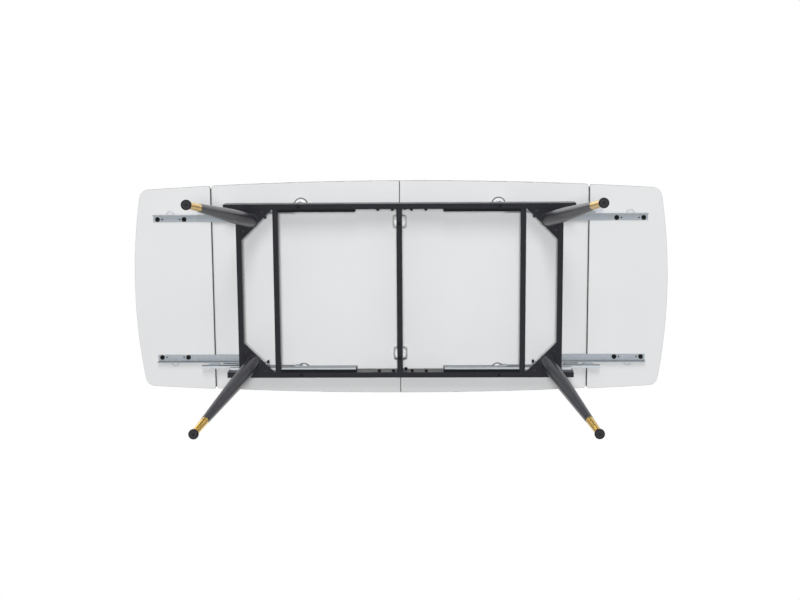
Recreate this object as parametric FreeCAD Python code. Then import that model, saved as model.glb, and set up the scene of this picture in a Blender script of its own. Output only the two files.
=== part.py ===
# Extending dining table: two fixed top halves on a steel frame, and two leaves drawn out on slides.
# Millimetres, +Z up, X along the table, origin on the floor under the middle of the table.
import FreeCAD, Part
import math
import os

V = FreeCAD.Vector

# Driving dimensions of the whole table
MAIN_LENGTH = 1400.0        # the two fixed halves together
EXTENDED_LENGTH = 1996.0    # over both leaves, drawn out
TABLE_WIDTH = 804.0         # at the middle, where the long sides bow out most
TABLE_HEIGHT = 750.0
TOP_THICKNESS = 10.0
SIDE_BOW = 33.0             # the long sides come in by this much at the table's ends
END_BOW = 30.0              # a leaf's end comes in by this much at END_BOW_AT from the middle
END_BOW_AT = 353.0
LEAF_CORNER = 35.0
SEAM_CORNER = 8.0
EDGE_ROUND = 1.5
CENTRE_SEAM = 2.0
LEAF_SEAM = 4.0
LEAF_DROP_GAP = 1.0         # a stored leaf passes this far under the fixed top

# Frame of rectangular steel tube
FRAME_DEPTH = 99.0          # from the underside of the top to the bottom of the frame
STANDOFF_HEIGHT = 29.0
TUBE_WIDTH = 20.0
TUBE_WALL = 1.5
TUBE_CORNER = 1.2
LOW_TUBE_HEIGHT = 20.0
RAIL_INSET = 88.5           # a rail's centre line in from the top's widest point
RAIL_END_INSET = 59.0       # a rail's end in from the end of the fixed top
END_TUBE_INSET = 52.0       # an end tube's centre line in from the rail's end
INNER_TUBE_INSET = 187.5
CAP_THICKNESS = 3.0
INSERT_HALF_LENGTH = 110.0
INSERT_PLAY = 0.2
JOINT_BOLT_X = (35.0, 88.0)     # from the joint of a rail's two halves
JOINT_BOLT_RISE = 21.0      # height of the bolts above the bottom of the frame
JOINT_HEAD_RADIUS = 6.0
JOINT_HEAD_HEIGHT = 7.0

# Corner gussets and legs
GUSSET_LEG = 112.0
GUSSET_THICKNESS = 4.0
LEG_INSET_X = 35.5          # a leg's top in from the end tube's inner face
LEG_INSET_Y = 40.0          # and from the rail's
LEG_SPLAY_X = 111.5         # how far a foot stands outside its leg's top
LEG_SPLAY_Y = 107.5
# The leg's outline, as shares of its length above the sleeve and the radius there
LEG_OUTLINE = ((0.0, 14.0), (0.2, 17.8), (0.4, 21.6), (0.6, 24.6), (0.8, 25.4), (1.0, 24.2))
LEG_WALL = 1.6
LEG_PLUG = 12.0
SLEEVE_LENGTH = 102.0
SLEEVE_TOP_RADIUS = 13.8
SLEEVE_LOW_RADIUS = 11.6
SPIGOT_LENGTH = 30.0
SPIGOT_GAP = 0.1
FOOT_RADIUS = 16.7
FOOT_TOP_RADIUS = 12.9
FOOT_RIM = 8.0
FOOT_HEIGHT = 14.0
STEM_RADIUS = 4.0
STEM_LENGTH = 38.0
LEG_BOLT_RADIUS = 4.0

# Standoffs between the frame and the fixed top
STANDOFF_INSET = 86.0       # a rail standoff in from the inner tube's centre line
STANDOFF_CENTRE_INSET = 53.5
STANDOFF_RADIUS = 27.0
STANDOFF_WAIST = 15.0
STANDOFF_FLANGE = 3.0
STANDOFF_PLATE = 52.0
STANDOFF_BOLT_RADIUS = 3.0

# Slides, one at each corner, on the inner face of a rail
SLIDE_DEPTH = 11.4
SLIDE_HEIGHT = 24.0
SLIDE_TOP_GAP = 0.0         # below the top of the rail
SLIDE_WALL = 1.5
SLIDE_LENGTH = 478.0
SLIDE_END_INSET = 1.0       # a channel's outer end in from the rail's end
RUNNER_LENGTH = 377.0
RUNNER_REACH = 49.0         # a runner's outer end beyond the end of the fixed top
RUNNER_HEIGHT = 14.0
RUNNER_WALL = 2.0
RUNNER_OVERHANG = 3.3       # how far the runner stands inboard of the fixed channel
RUNNER_LIP = 8.2
CAGE_LENGTH = 200.0
CAGE_SET_BACK = 13.0        # a cage's inner end beyond the runner's
CAGE_STRIP = 1.6
BALL_RADIUS = 1.55
BALLS_PER_STRIP = 6
STOP_LENGTH = 4.0
STOP_DEPTH = 4.0
SUPPORT_DEPTH = 9.5         # of the angle under a slide
SUPPORT_WALL = 2.0

# Arms that carry a leaf, with their links, springs and wire clips
ARM_END_INSET = 79.0        # an arm's outer end in from the leaf's tip
ARM_FLANGE = 27.0
ARM_GAP = 9.8               # between an arm's upright and the runner, where the links lie
ARM_WALL = 2.5
ARM_TAIL = 50.0             # the narrow part at an arm's inner end, out to the spring
ARM_TAIL_HEIGHT = 6.0
ARM_HEIGHT = 26.0
ARM_BOLT_INSETS = (115.0, 15.5)
ARM_BOLT_OUT = 17.0         # a bolt's line inboard of the upright's outer face
ARM_HEAD_RADIUS = 8.0
ARM_HEAD_HEIGHT = 4.0
ARM_SHANK_RADIUS = 3.0
ARM_SHANK_DEPTH = 8.0
ARM_HOLE_OFFSET = 17.0      # spare holes, towards each other from the two bolts
LINK_SHARE = 0.2122         # the outer link's outer end, as a share of the runner in from its outer end
LINK_REACH = 24.0           # the inner link's inner end, beyond the arm's
LINK_LENGTH = 57.0
LINK_HALF_WIDTH = 6.0
LINK_THICKNESS = 3.0
LINK_INSET = 5.0            # a link's ends in from the edges of the runner and the arm
LINK_PIN_RADIUS = 3.0
BRACKET_INSET = 19.0
BRACKET_LENGTH = 53.0
BRACKET_TAPER = 14.0
BRACKET_THICKNESS = 2.0
CLIP_RADIUS = 14.0
CLIP_WIRE = 1.2
SPRING_SET_BACK = 20.0      # a spring's inner end beyond the runner's
SPRING_LENGTH = 102.0
SPRING_TURNS = 13
SPRING_RADIUS = 2.9
SPRING_WIRE = 0.8
SPRING_PEG_LENGTH = 6.0
TAB_THICKNESS = 6.0
RUNNING_GAP = 0.1           # between a bolt or stem and its hole
SPRING_DROP = 4.5           # of a spring's axis below the runner
SPRING_OUT = 1.0            # of a spring's axis inboard of the runner's face

# Levels and faces worked out from the driving dimensions
UNDERSIDE = TABLE_HEIGHT - TOP_THICKNESS
LEAF_TOP = UNDERSIDE - LEAF_DROP_GAP
LEAF_UNDERSIDE = LEAF_TOP - TOP_THICKNESS
FRAME_BOTTOM = UNDERSIDE - FRAME_DEPTH
RAIL_TOP = UNDERSIDE - STANDOFF_HEIGHT
RAIL_HALF_LENGTH = MAIN_LENGTH / 2 - RAIL_END_INSET
RAIL_CENTRE_Y = TABLE_WIDTH / 2 - RAIL_INSET
END_TUBE_X = RAIL_HALF_LENGTH - END_TUBE_INSET
INNER_TUBE_X = RAIL_HALF_LENGTH - INNER_TUBE_INSET
RAIL_INNER = RAIL_CENTRE_Y - TUBE_WIDTH / 2
RAIL_OUTER = RAIL_CENTRE_Y + TUBE_WIDTH / 2
JOINT_X = TUBE_WIDTH / 2      # a rail's halves meet at the centre tube's right face
LOW_TUBE_TOP = FRAME_BOTTOM + LOW_TUBE_HEIGHT
END_TUBE_INNER = END_TUBE_X - TUBE_WIDTH / 2
GUSSET_TOP = FRAME_BOTTOM + GUSSET_THICKNESS
LEG_TOP_X = END_TUBE_INNER - LEG_INSET_X
LEG_TOP_Y = RAIL_INNER - LEG_INSET_Y
FOOT_X = LEG_TOP_X + LEG_SPLAY_X
FOOT_Y = LEG_TOP_Y + LEG_SPLAY_Y
STANDOFF_X = INNER_TUBE_X - STANDOFF_INSET
STANDOFF_CENTRE_Y = RAIL_INNER - STANDOFF_CENTRE_INSET
SLIDE_X = (RAIL_HALF_LENGTH - SLIDE_END_INSET - SLIDE_LENGTH, RAIL_HALF_LENGTH - SLIDE_END_INSET)
RUNNER_X = (MAIN_LENGTH / 2 + RUNNER_REACH - RUNNER_LENGTH, MAIN_LENGTH / 2 + RUNNER_REACH)
CAGE_X = (RUNNER_X[0] + CAGE_SET_BACK, RUNNER_X[0] + CAGE_SET_BACK + CAGE_LENGTH)
SLIDE_TOP = RAIL_TOP - SLIDE_TOP_GAP
SLIDE_BOTTOM = SLIDE_TOP - SLIDE_HEIGHT
SLIDE_MIDDLE = (SLIDE_TOP + SLIDE_BOTTOM) / 2
SLIDE_FACE = RAIL_INNER - SLIDE_DEPTH
RUNNER_FACE = SLIDE_FACE - RUNNER_OVERHANG
RUNNER_TIP = RUNNER_FACE + RUNNER_WALL + RUNNER_LIP
RUNNER_TOP = SLIDE_MIDDLE + RUNNER_HEIGHT / 2
RUNNER_BOTTOM = SLIDE_MIDDLE - RUNNER_HEIGHT / 2
SPRING_X = (RUNNER_X[0] + SPRING_SET_BACK, RUNNER_X[0] + SPRING_SET_BACK + SPRING_LENGTH)
ARM_X = (SPRING_X[1] + ARM_TAIL, EXTENDED_LENGTH / 2 - ARM_END_INSET)
ARM_Y = (RUNNER_FACE - ARM_GAP - ARM_FLANGE, RUNNER_FACE - ARM_GAP)
ARM_BOLT_X = tuple(ARM_X[1] - inset for inset in ARM_BOLT_INSETS)
ARM_BOLT_Y = ARM_Y[1] - ARM_BOLT_OUT
CLIP_X = sum(ARM_BOLT_X) / 2
LINK_END = RUNNER_X[1] - LINK_SHARE * RUNNER_LENGTH
LINK_START = ARM_X[0] - LINK_REACH
LINK_X = [(LINK_END - LINK_LENGTH, LINK_END), (LINK_START, LINK_START + LINK_LENGTH)]
BRACKET_X = (RUNNER_X[1] - BRACKET_INSET - BRACKET_LENGTH, RUNNER_X[1] - BRACKET_INSET)
ARM_FLANGE_BOTTOM = LEAF_UNDERSIDE - ARM_WALL
ARM_BOTTOM = LEAF_UNDERSIDE - ARM_HEIGHT
SPRING_Y = RUNNER_FACE - SPRING_OUT
SPRING_Z = RUNNER_BOTTOM - SPRING_DROP
SIDE_RADIUS = (EXTENDED_LENGTH ** 2 / 4 + SIDE_BOW ** 2) / (2 * SIDE_BOW)
END_RADIUS = (END_BOW_AT ** 2 + END_BOW ** 2) / (2 * END_BOW)

SIDES = {"left": -1, "right": 1}
ROWS = {"front": -1, "rear": 1}
UP = V(0, 0, 1)


def block(x, y, z):
    """A box from three (low, high) pairs."""
    return Part.makeBox(x[1] - x[0], y[1] - y[0], z[1] - z[0], V(x[0], y[0], z[0]))


def rod(radius, start, end):
    """A round rod between two points."""
    return Part.makeCylinder(radius, (end - start).Length, start, end - start)


def extrude(edges, z):
    """A prism between two levels from a closed plan outline."""
    face = Part.Face(Part.Wire(edges))
    face.translate(V(0, 0, z[0]))
    return face.extrude(V(0, 0, z[1] - z[0]))


def polygon(points, z):
    """A prism between two levels from plan points."""
    corners = [V(x, y, 0) for x, y in points]
    return extrude(Part.makePolygon(corners + corners[:1]).Edges, z)


def along(shape, direction):
    """The straight edges of a shape that run along a direction."""
    straight = [edge for edge in shape.Edges if isinstance(edge.Curve, Part.Line)]
    return [edge for edge in straight if abs(edge.tangentAt(edge.FirstParameter).dot(direction)) > 0.999]


def tube(x, y, z, direction):
    """A rectangular tube with rounded outer corners, running along a direction."""
    outer = block(x, y, z)
    outer = outer.makeFillet(TUBE_CORNER, along(outer, direction))
    room = [pair if abs(part) > 0.5 else (pair[0] + TUBE_WALL, pair[1] - TUBE_WALL)
            for pair, part in zip((x, y, z), direction)]
    return outer.cut(block(*room))


def in_quadrant(shape, side, row):
    """A copy of a shape built at positive X and Y, mirrored to a named corner."""
    placed = shape.copy()
    if SIDES[side] < 0:
        placed = placed.mirror(V(), V(1, 0, 0))
    if ROWS[row] < 0:
        placed = placed.mirror(V(), V(0, 1, 0))
    return placed


def save(name, *shapes):
    """Write one node: a single solid, or a group of separate ones."""
    solids = [solid for shape in shapes for solid in shape.Solids]
    node = solids[0] if len(solids) == 1 else Part.makeCompound(solids)
    node.exportStep("parts/" + name + ".step")


def side_y(x):
    """Half the table's width at a distance from the middle."""
    return TABLE_WIDTH / 2 - SIDE_RADIUS + math.sqrt(SIDE_RADIUS ** 2 - x ** 2)


def end_x(y):
    """Reach of a leaf's bowed end at a distance from the long centre line."""
    return EXTENDED_LENGTH / 2 - END_RADIUS + math.sqrt(END_RADIUS ** 2 - y ** 2)


def side_arc(x0, x1, sign):
    """The bowed long side between two distances from the middle."""
    points = [V(x, sign * side_y(x), 0) for x in (x0, (x0 + x1) / 2, x1)]
    return Part.Arc(*points).toShape()


def round_corners(panel, x, radius):
    """Round a panel's upright corner edges that stand at a distance from the middle."""
    upright = [edge for edge in along(panel, UP) if abs(edge.Vertexes[0].X - x) < 0.01]
    return panel.makeFillet(radius, upright)


def ease_faces(panel):
    """Ease the edges round a panel's top and bottom faces."""
    flat = [face for face in panel.Faces if abs(face.normalAt(0, 0).z) > 0.999]
    return panel.makeFillet(EDGE_ROUND, [edge for face in flat for edge in face.Edges])


def main_half():
    """One fixed half of the top, at positive X."""
    x0, x1 = CENTRE_SEAM / 2, MAIN_LENGTH / 2
    y0, y1 = side_y(x0), side_y(x1)
    edges = [side_arc(x0, x1, -1), Part.makeLine(V(x1, -y1, 0), V(x1, y1, 0)),
             side_arc(x1, x0, 1), Part.makeLine(V(x0, y0, 0), V(x0, -y0, 0))]
    panel = extrude(edges, (UNDERSIDE, TABLE_HEIGHT))
    return ease_faces(round_corners(panel, x1, SEAM_CORNER))


def leaf():
    """One leaf at positive X, with blind holes for its arm bolts."""
    x0 = MAIN_LENGTH / 2 + LEAF_SEAM
    y0 = side_y(x0)
    corner_y = y0
    for _ in range(30):
        corner_y = side_y(end_x(corner_y))
    corner_x = end_x(corner_y)
    tip = V(EXTENDED_LENGTH / 2, 0, 0)
    end = Part.Arc(V(corner_x, -corner_y, 0), tip, V(corner_x, corner_y, 0)).toShape()
    edges = [side_arc(x0, corner_x, -1), end, side_arc(corner_x, x0, 1),
             Part.makeLine(V(x0, y0, 0), V(x0, -y0, 0))]
    panel = extrude(edges, (LEAF_UNDERSIDE, LEAF_TOP))
    panel = round_corners(panel, corner_x, LEAF_CORNER)
    panel = ease_faces(round_corners(panel, x0, SEAM_CORNER))
    for x in ARM_BOLT_X:
        for sign in ROWS.values():
            hole = V(x, sign * ARM_BOLT_Y, LEAF_UNDERSIDE)
            panel = panel.cut(rod(ARM_SHANK_RADIUS + RUNNING_GAP, hole, hole + UP * ARM_SHANK_DEPTH))
    return panel


def rail_half(side):
    """One half of a long rail, from its joint by the centre tube to its end, with its bolt holes."""
    joint = SIDES[side] * JOINT_X
    rail = tube((joint, RAIL_HALF_LENGTH), (RAIL_INNER, RAIL_OUTER), (FRAME_BOTTOM, RAIL_TOP), V(1, 0, 0))
    for x in JOINT_BOLT_X:
        rail = rail.cut(joint_bore(joint + x))
    return rail.cut(standoff_bore(STANDOFF_X, RAIL_CENTRE_Y))


def joint_bore(x):
    """The hole for a rail joint bolt, through the rail's inner wall and the insert behind it."""
    start = V(x, RAIL_INNER - 1, FRAME_BOTTOM + JOINT_BOLT_RISE)
    return rod(STANDOFF_BOLT_RADIUS + RUNNING_GAP, start, start + V(0, 8, 0))


def joint_bolt(x):
    """A rail joint bolt with its head on the rail's inner face."""
    seat = V(x, RAIL_INNER, FRAME_BOTTOM + JOINT_BOLT_RISE)
    head = rod(JOINT_HEAD_RADIUS, seat - V(0, JOINT_HEAD_HEIGHT, 0), seat)
    head = head.makeFillet(2.0, [edge for edge in head.Edges if edge.Vertexes[0].Y < seat.y - 1])
    return head.fuse(rod(STANDOFF_BOLT_RADIUS, seat, seat + V(0, 6, 0)))


def rail_insert():
    """The tube that joins two rail halves from inside, at positive Y."""
    inset = TUBE_WALL + INSERT_PLAY
    ends = (JOINT_X - INSERT_HALF_LENGTH, JOINT_X + INSERT_HALF_LENGTH)
    insert = tube(ends, (RAIL_INNER + inset, RAIL_OUTER - inset), (FRAME_BOTTOM + inset, RAIL_TOP - inset),
                  V(1, 0, 0))
    for x in JOINT_BOLT_X:
        for sign in SIDES.values():
            insert = insert.cut(joint_bore(JOINT_X + sign * x))
    return insert


def rail_cap():
    """The plastic cap on a rail's end: a plate and a plug."""
    end = RAIL_HALF_LENGTH
    plate = block((end, end + CAP_THICKNESS), (RAIL_INNER, RAIL_OUTER), (FRAME_BOTTOM, RAIL_TOP))
    plate = plate.makeFillet(TUBE_CORNER, along(plate, V(1, 0, 0)))
    inset = TUBE_WALL + INSERT_PLAY
    plug = block((end - 15, end), (RAIL_INNER + inset, RAIL_OUTER - inset),
                 (FRAME_BOTTOM + inset, RAIL_TOP - inset))
    return plate.fuse(plug)


def cross_tube(x, top):
    """A cross tube between the rails, its bottom flush with theirs."""
    return tube((x - TUBE_WIDTH / 2, x + TUBE_WIDTH / 2), (-RAIL_INNER, RAIL_INNER), (FRAME_BOTTOM, top),
                V(0, 1, 0))


def standoff_bore(x, y):
    """The hole for a standoff bolt, through the tube under the standoff."""
    foot = V(x, y, FRAME_BOTTOM - 1)
    return rod(STANDOFF_BOLT_RADIUS + RUNNING_GAP, foot, V(x, y, RAIL_TOP + 1))


def standoff(x, y):
    """A round standoff with a flared top, bored for its bolt from below."""
    waist_top = UNDERSIDE - STANDOFF_FLANGE
    outline = [V(0, 0, RAIL_TOP), V(STANDOFF_WAIST, 0, RAIL_TOP), V(STANDOFF_WAIST, 0, waist_top - 5),
               V(STANDOFF_RADIUS, 0, waist_top), V(STANDOFF_RADIUS, 0, UNDERSIDE), V(0, 0, UNDERSIDE)]
    cup = Part.Face(Part.makePolygon(outline + outline[:1])).revolve(V(), UP, 360)
    cup.translate(V(x, y, 0))
    bore = V(x, y, RAIL_TOP)
    return cup.cut(rod(STANDOFF_BOLT_RADIUS + RUNNING_GAP, bore, bore + UP * 10))


def centre_standoff(y):
    """A standoff on a square plate that bridges the centre seam."""
    half = STANDOFF_PLATE / 2
    plate = block((-half, half), (y - half, y + half), (UNDERSIDE - STANDOFF_FLANGE, UNDERSIDE))
    plate = plate.makeFillet(4.0, along(plate, UP))
    bore = V(0, y, RAIL_TOP)
    cup = rod(STANDOFF_WAIST + 3, bore, V(0, y, UNDERSIDE - STANDOFF_FLANGE))
    return plate.fuse(cup).cut(rod(STANDOFF_BOLT_RADIUS + RUNNING_GAP, bore, bore + UP * 10))


def standoff_bolt(x, y):
    """The bolt that draws a standoff down on its tube."""
    seat = V(x, y, FRAME_BOTTOM)
    head = rod(2 * STANDOFF_BOLT_RADIUS, seat - UP * 3, seat)
    return head.fuse(rod(STANDOFF_BOLT_RADIUS, seat, V(x, y, RAIL_TOP + 9)))


def gusset():
    """A corner plate between an end tube and a rail, with two upturned flanges."""
    x0, y0 = END_TUBE_INNER, RAIL_INNER
    plate = polygon([(x0, y0), (x0 - GUSSET_LEG, y0), (x0, y0 - GUSSET_LEG)], (FRAME_BOTTOM, GUSSET_TOP))
    rail_flange = block((x0 - GUSSET_LEG + 12, x0), (y0 - 3, y0), (FRAME_BOTTOM, LOW_TUBE_TOP))
    tube_flange = block((x0 - 3, x0), (y0 - GUSSET_LEG + 12, y0), (FRAME_BOTTOM, LOW_TUBE_TOP))
    top = V(LEG_TOP_X, LEG_TOP_Y, FRAME_BOTTOM - 1)
    hole = rod(LEG_BOLT_RADIUS + RUNNING_GAP, top, top + UP * (GUSSET_THICKNESS + 2))
    return plate.fuse(rail_flange).fuse(tube_flange).cut(hole).removeSplitter()


FOOT_POINT = V(FOOT_X, FOOT_Y, FOOT_HEIGHT)
LEG_AXIS = V(LEG_TOP_X, LEG_TOP_Y, FRAME_BOTTOM) - FOOT_POINT
LEG_LENGTH = LEG_AXIS.Length
LEG_AXIS = LEG_AXIS / LEG_LENGTH


def leg_cone(t0, t1, radius_at):
    """A round taper on the leg's line, between two distances from its foot."""
    return Part.makeCone(radius_at(t0), radius_at(t1), t1 - t0, FOOT_POINT + LEG_AXIS * t0, LEG_AXIS)


def leg_rod(t0, t1, radius):
    """A straight rod on the leg's line, between two distances from its foot."""
    return rod(radius, FOOT_POINT + LEG_AXIS * t0, FOOT_POINT + LEG_AXIS * t1)


def leg_turning(inset, end):
    """A solid turned on the leg's line from the sleeve up, set inside the leg's outline."""
    reach = end - SLEEVE_LENGTH
    side = [V(radius - inset, 0, SLEEVE_LENGTH + share * reach) for share, radius in LEG_OUTLINE]
    curve = Part.BSplineCurve()
    curve.interpolate(side)
    low, high = V(0, 0, side[0].z), V(0, 0, side[-1].z)
    ends = [Part.makeLine(side[-1], high), Part.makeLine(high, low), Part.makeLine(low, side[0])]
    turned = Part.Face(Part.Wire([curve.toShape()] + ends)).revolve(V(), UP, 360)
    turned.Placement = FreeCAD.Placement(FOOT_POINT, FreeCAD.Rotation(UP, LEG_AXIS))
    return turned


def sleeve_radius(t):
    """Outer radius of the metal sleeve at a distance from the foot."""
    return SLEEVE_LOW_RADIUS + t / SLEEVE_LENGTH * (SLEEVE_TOP_RADIUS - SLEEVE_LOW_RADIUS)


def leg():
    """A swelling tube leg, closed at the top by a welded plug and cut level under the frame."""
    shell = leg_turning(0, LEG_LENGTH + 30)
    room = leg_turning(LEG_WALL, LEG_LENGTH - LEG_PLUG - 6)
    above = block((0, 2 * FOOT_X), (0, 2 * FOOT_Y), (FRAME_BOTTOM, FRAME_BOTTOM + 100))
    top = V(LEG_TOP_X, LEG_TOP_Y, FRAME_BOTTOM)
    return shell.cut(room).cut(above).cut(rod(LEG_BOLT_RADIUS + RUNNING_GAP, top - UP * LEG_PLUG, top))


def leg_sleeve():
    """The metal sleeve on a leg's lower end, with a spigot up into the leg."""
    sleeve = leg_cone(-8.0, SLEEVE_LENGTH, sleeve_radius)
    bore_radius = LEG_OUTLINE[0][1] - LEG_WALL
    spigot = leg_rod(SLEEVE_LENGTH - 1, SLEEVE_LENGTH + SPIGOT_LENGTH, bore_radius - SPIGOT_GAP)
    below = block((0, 2 * FOOT_X), (0, 2 * FOOT_Y), (-50, FOOT_HEIGHT))
    bore = leg_rod(-10.0, STEM_LENGTH + 2, STEM_RADIUS + RUNNING_GAP)
    return sleeve.fuse(spigot).cut(below).cut(bore)


def foot():
    """A round foot that stands level on the floor, with a stem up into the sleeve."""
    centre = V(FOOT_X, FOOT_Y, 0)
    rim = rod(FOOT_RADIUS, centre, centre + UP * FOOT_RIM)
    crown = Part.makeCone(FOOT_RADIUS, FOOT_TOP_RADIUS, FOOT_HEIGHT - FOOT_RIM, centre + UP * FOOT_RIM, UP)
    stem = leg_rod(-5.0, STEM_LENGTH, STEM_RADIUS)
    base = rim.makeFillet(1.5, [edge for edge in rim.Edges if edge.Vertexes[0].Z < 0.01])
    return base.fuse(crown).fuse(stem).removeSplitter()


def leg_bolt():
    """The bolt from a gusset down into a leg's plug."""
    seat = V(LEG_TOP_X, LEG_TOP_Y, GUSSET_TOP)
    corners = [(LEG_TOP_X + 7.5 * math.cos(math.radians(60 * i)),
                LEG_TOP_Y + 7.5 * math.sin(math.radians(60 * i))) for i in range(6)]
    head = polygon(corners, (GUSSET_TOP, GUSSET_TOP + 5))
    return head.fuse(rod(LEG_BOLT_RADIUS, seat - UP * (GUSSET_THICKNESS + LEG_PLUG - 1), seat))


def slide_channel():
    """The fixed channel of a slide, open towards the middle of the table."""
    channel = block(SLIDE_X, (SLIDE_FACE, RAIL_INNER), (SLIDE_BOTTOM, SLIDE_TOP))
    room = block(SLIDE_X, (SLIDE_FACE, RAIL_INNER - SLIDE_WALL),
                 (SLIDE_BOTTOM + SLIDE_WALL, SLIDE_TOP - SLIDE_WALL))
    return channel.cut(room)


def slide_support():
    """The steel angle under a fixed channel, on the rail's inner face, with a stop at its inner end."""
    x = (SLIDE_X[0], INNER_TUBE_X - TUBE_WIDTH / 2)
    y = (RAIL_INNER - SUPPORT_DEPTH, RAIL_INNER)
    back = block(x, (y[1] - SUPPORT_WALL, y[1]), (FRAME_BOTTOM, SLIDE_BOTTOM))
    base = block(x, y, (FRAME_BOTTOM, FRAME_BOTTOM + SUPPORT_WALL))
    stop = block((x[0], x[0] + STOP_LENGTH), (SLIDE_FACE, RAIL_INNER),
                 (SLIDE_BOTTOM - STOP_DEPTH, SLIDE_BOTTOM))
    return back.fuse(base).fuse(stop).removeSplitter()


def ball_cage():
    """The ball cage of a slide: two strips of balls on a thin web, between channel and runner."""
    tip = RUNNER_TIP
    lane = (SLIDE_BOTTOM + SLIDE_WALL + RUNNER_BOTTOM) / 2
    reach = (SLIDE_FACE + 1.7, tip + 2.2)
    lanes = (lane - CAGE_STRIP / 2, 2 * SLIDE_MIDDLE - lane + CAGE_STRIP / 2)
    web = block(CAGE_X, (tip + 1.2, tip + 2.2), lanes)
    cage = web
    for z in (lane, 2 * SLIDE_MIDDLE - lane):
        cage = cage.fuse(block(CAGE_X, reach, (z - CAGE_STRIP / 2, z + CAGE_STRIP / 2)))
        for i in range(BALLS_PER_STRIP):
            x = CAGE_X[0] + (i + 0.5) * (CAGE_X[1] - CAGE_X[0]) / BALLS_PER_STRIP
            cage = cage.fuse(Part.makeSphere(BALL_RADIUS, V(x, (reach[0] + tip) / 2, z)))
    return cage.removeSplitter()


def slide_runner():
    """The moving member of a slide, with the tab and peg that hold a spring's inner end."""
    runner = block(RUNNER_X, (RUNNER_FACE, RUNNER_TIP), (RUNNER_BOTTOM, RUNNER_TOP))
    room = block(RUNNER_X, (RUNNER_FACE + RUNNER_WALL, RUNNER_TIP),
                 (RUNNER_BOTTOM + RUNNER_WALL, RUNNER_TOP - RUNNER_WALL))
    end = SPRING_X[0]
    tab = block((end - TAB_THICKNESS, end), (SPRING_Y - 4, RUNNER_FACE + RUNNER_WALL),
                (SPRING_Z - 4, RUNNER_BOTTOM + 6))
    peg = V(end, SPRING_Y, SPRING_Z)
    runner = runner.cut(room).fuse(tab)
    return runner.fuse(rod(peg_radius(), peg, peg + V(SPRING_PEG_LENGTH, 0, 0))).removeSplitter()


def peg_radius():
    """Radius of the pegs inside a spring's end turns."""
    return SPRING_RADIUS - SPRING_WIRE - RUNNING_GAP


def leaf_arm():
    """The steel angle that carries a leaf, with the tab and peg that hold a spring's outer end."""
    flange = block(ARM_X, ARM_Y, (ARM_FLANGE_BOTTOM, LEAF_UNDERSIDE))
    wall = (ARM_Y[1] - ARM_WALL, ARM_Y[1])
    upright = block(ARM_X, wall, (ARM_BOTTOM, LEAF_UNDERSIDE))
    end = SPRING_X[1]
    tail = block((end, ARM_X[0]), wall, (ARM_BOTTOM, ARM_BOTTOM + ARM_TAIL_HEIGHT))
    shank = block((end, end + TAB_THICKNESS), (wall[0], RUNNER_FACE - 1),
                  (SPRING_Z - 4, ARM_BOTTOM + ARM_TAIL_HEIGHT))
    hook = block((end, end + TAB_THICKNESS), (wall[0], SPRING_Y + 2.5), (SPRING_Z - 4, RUNNER_BOTTOM - 0.5))
    peg = V(end, SPRING_Y, SPRING_Z)
    arm = flange.fuse(upright).fuse(tail).fuse(shank).fuse(hook)
    arm = arm.fuse(rod(peg_radius(), peg - V(SPRING_PEG_LENGTH, 0, 0), peg))
    spare = (ARM_BOLT_X[0] + ARM_HOLE_OFFSET, ARM_BOLT_X[1] - ARM_HOLE_OFFSET)
    for x in ARM_BOLT_X + spare:
        hole = V(x, ARM_BOLT_Y, ARM_FLANGE_BOTTOM - 1)
        arm = arm.cut(rod(ARM_SHANK_RADIUS + RUNNING_GAP, hole, hole + UP * (ARM_WALL + 2)))
    return arm.removeSplitter()


def arm_bolt(x):
    """A bolt that holds an arm to its leaf."""
    seat = V(x, ARM_BOLT_Y, ARM_FLANGE_BOTTOM)
    head = rod(ARM_HEAD_RADIUS, seat - UP * ARM_HEAD_HEIGHT, seat)
    head = head.makeFillet(2.5, [edge for edge in head.Edges if edge.Vertexes[0].Z < seat.z - 1])
    return head.fuse(rod(ARM_SHANK_RADIUS, seat, seat + UP * (ARM_WALL + ARM_SHANK_DEPTH - 1)))


def lift_link(x0, x1):
    """One link bar between a runner's face and an arm's upright, with a pin towards each."""
    low, high = V(x0, 0, RUNNER_TOP - LINK_INSET), V(x1, 0, ARM_BOTTOM + LINK_INSET)
    middle = (RUNNER_FACE + ARM_Y[1]) / 2
    half = LINK_THICKNESS / 2
    slope = math.degrees(math.atan2(high.z - low.z, high.x - low.x))
    bar = block((0, (high - low).Length), (middle - half, middle + half),
                (-LINK_HALF_WIDTH, LINK_HALF_WIDTH))
    bar = bar.makeFillet(LINK_HALF_WIDTH - 0.5, along(bar, V(0, 1, 0)))
    bar.rotate(V(), V(0, 1, 0), -slope)
    bar.translate(low)
    pins = low + (high - low) * 0.12, low + (high - low) * 0.88
    inner = rod(LINK_PIN_RADIUS, V(pins[0].x, middle, pins[0].z), V(pins[0].x, RUNNER_FACE, pins[0].z))
    outer = rod(LINK_PIN_RADIUS, V(pins[1].x, ARM_Y[1], pins[1].z), V(pins[1].x, middle, pins[1].z))
    return bar.fuse(inner).fuse(outer)


def lift_bracket():
    """The tapered plate between an arm and a runner, near the runner's outer end."""
    x0, x1 = BRACKET_X
    outline = [(x0, RUNNER_FACE), (x1, RUNNER_FACE), (x1 - BRACKET_TAPER, ARM_Y[1]),
               (x0 + BRACKET_TAPER, ARM_Y[1])]
    return polygon(outline, (ARM_BOTTOM + 1, ARM_BOTTOM + 1 + BRACKET_THICKNESS))


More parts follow.
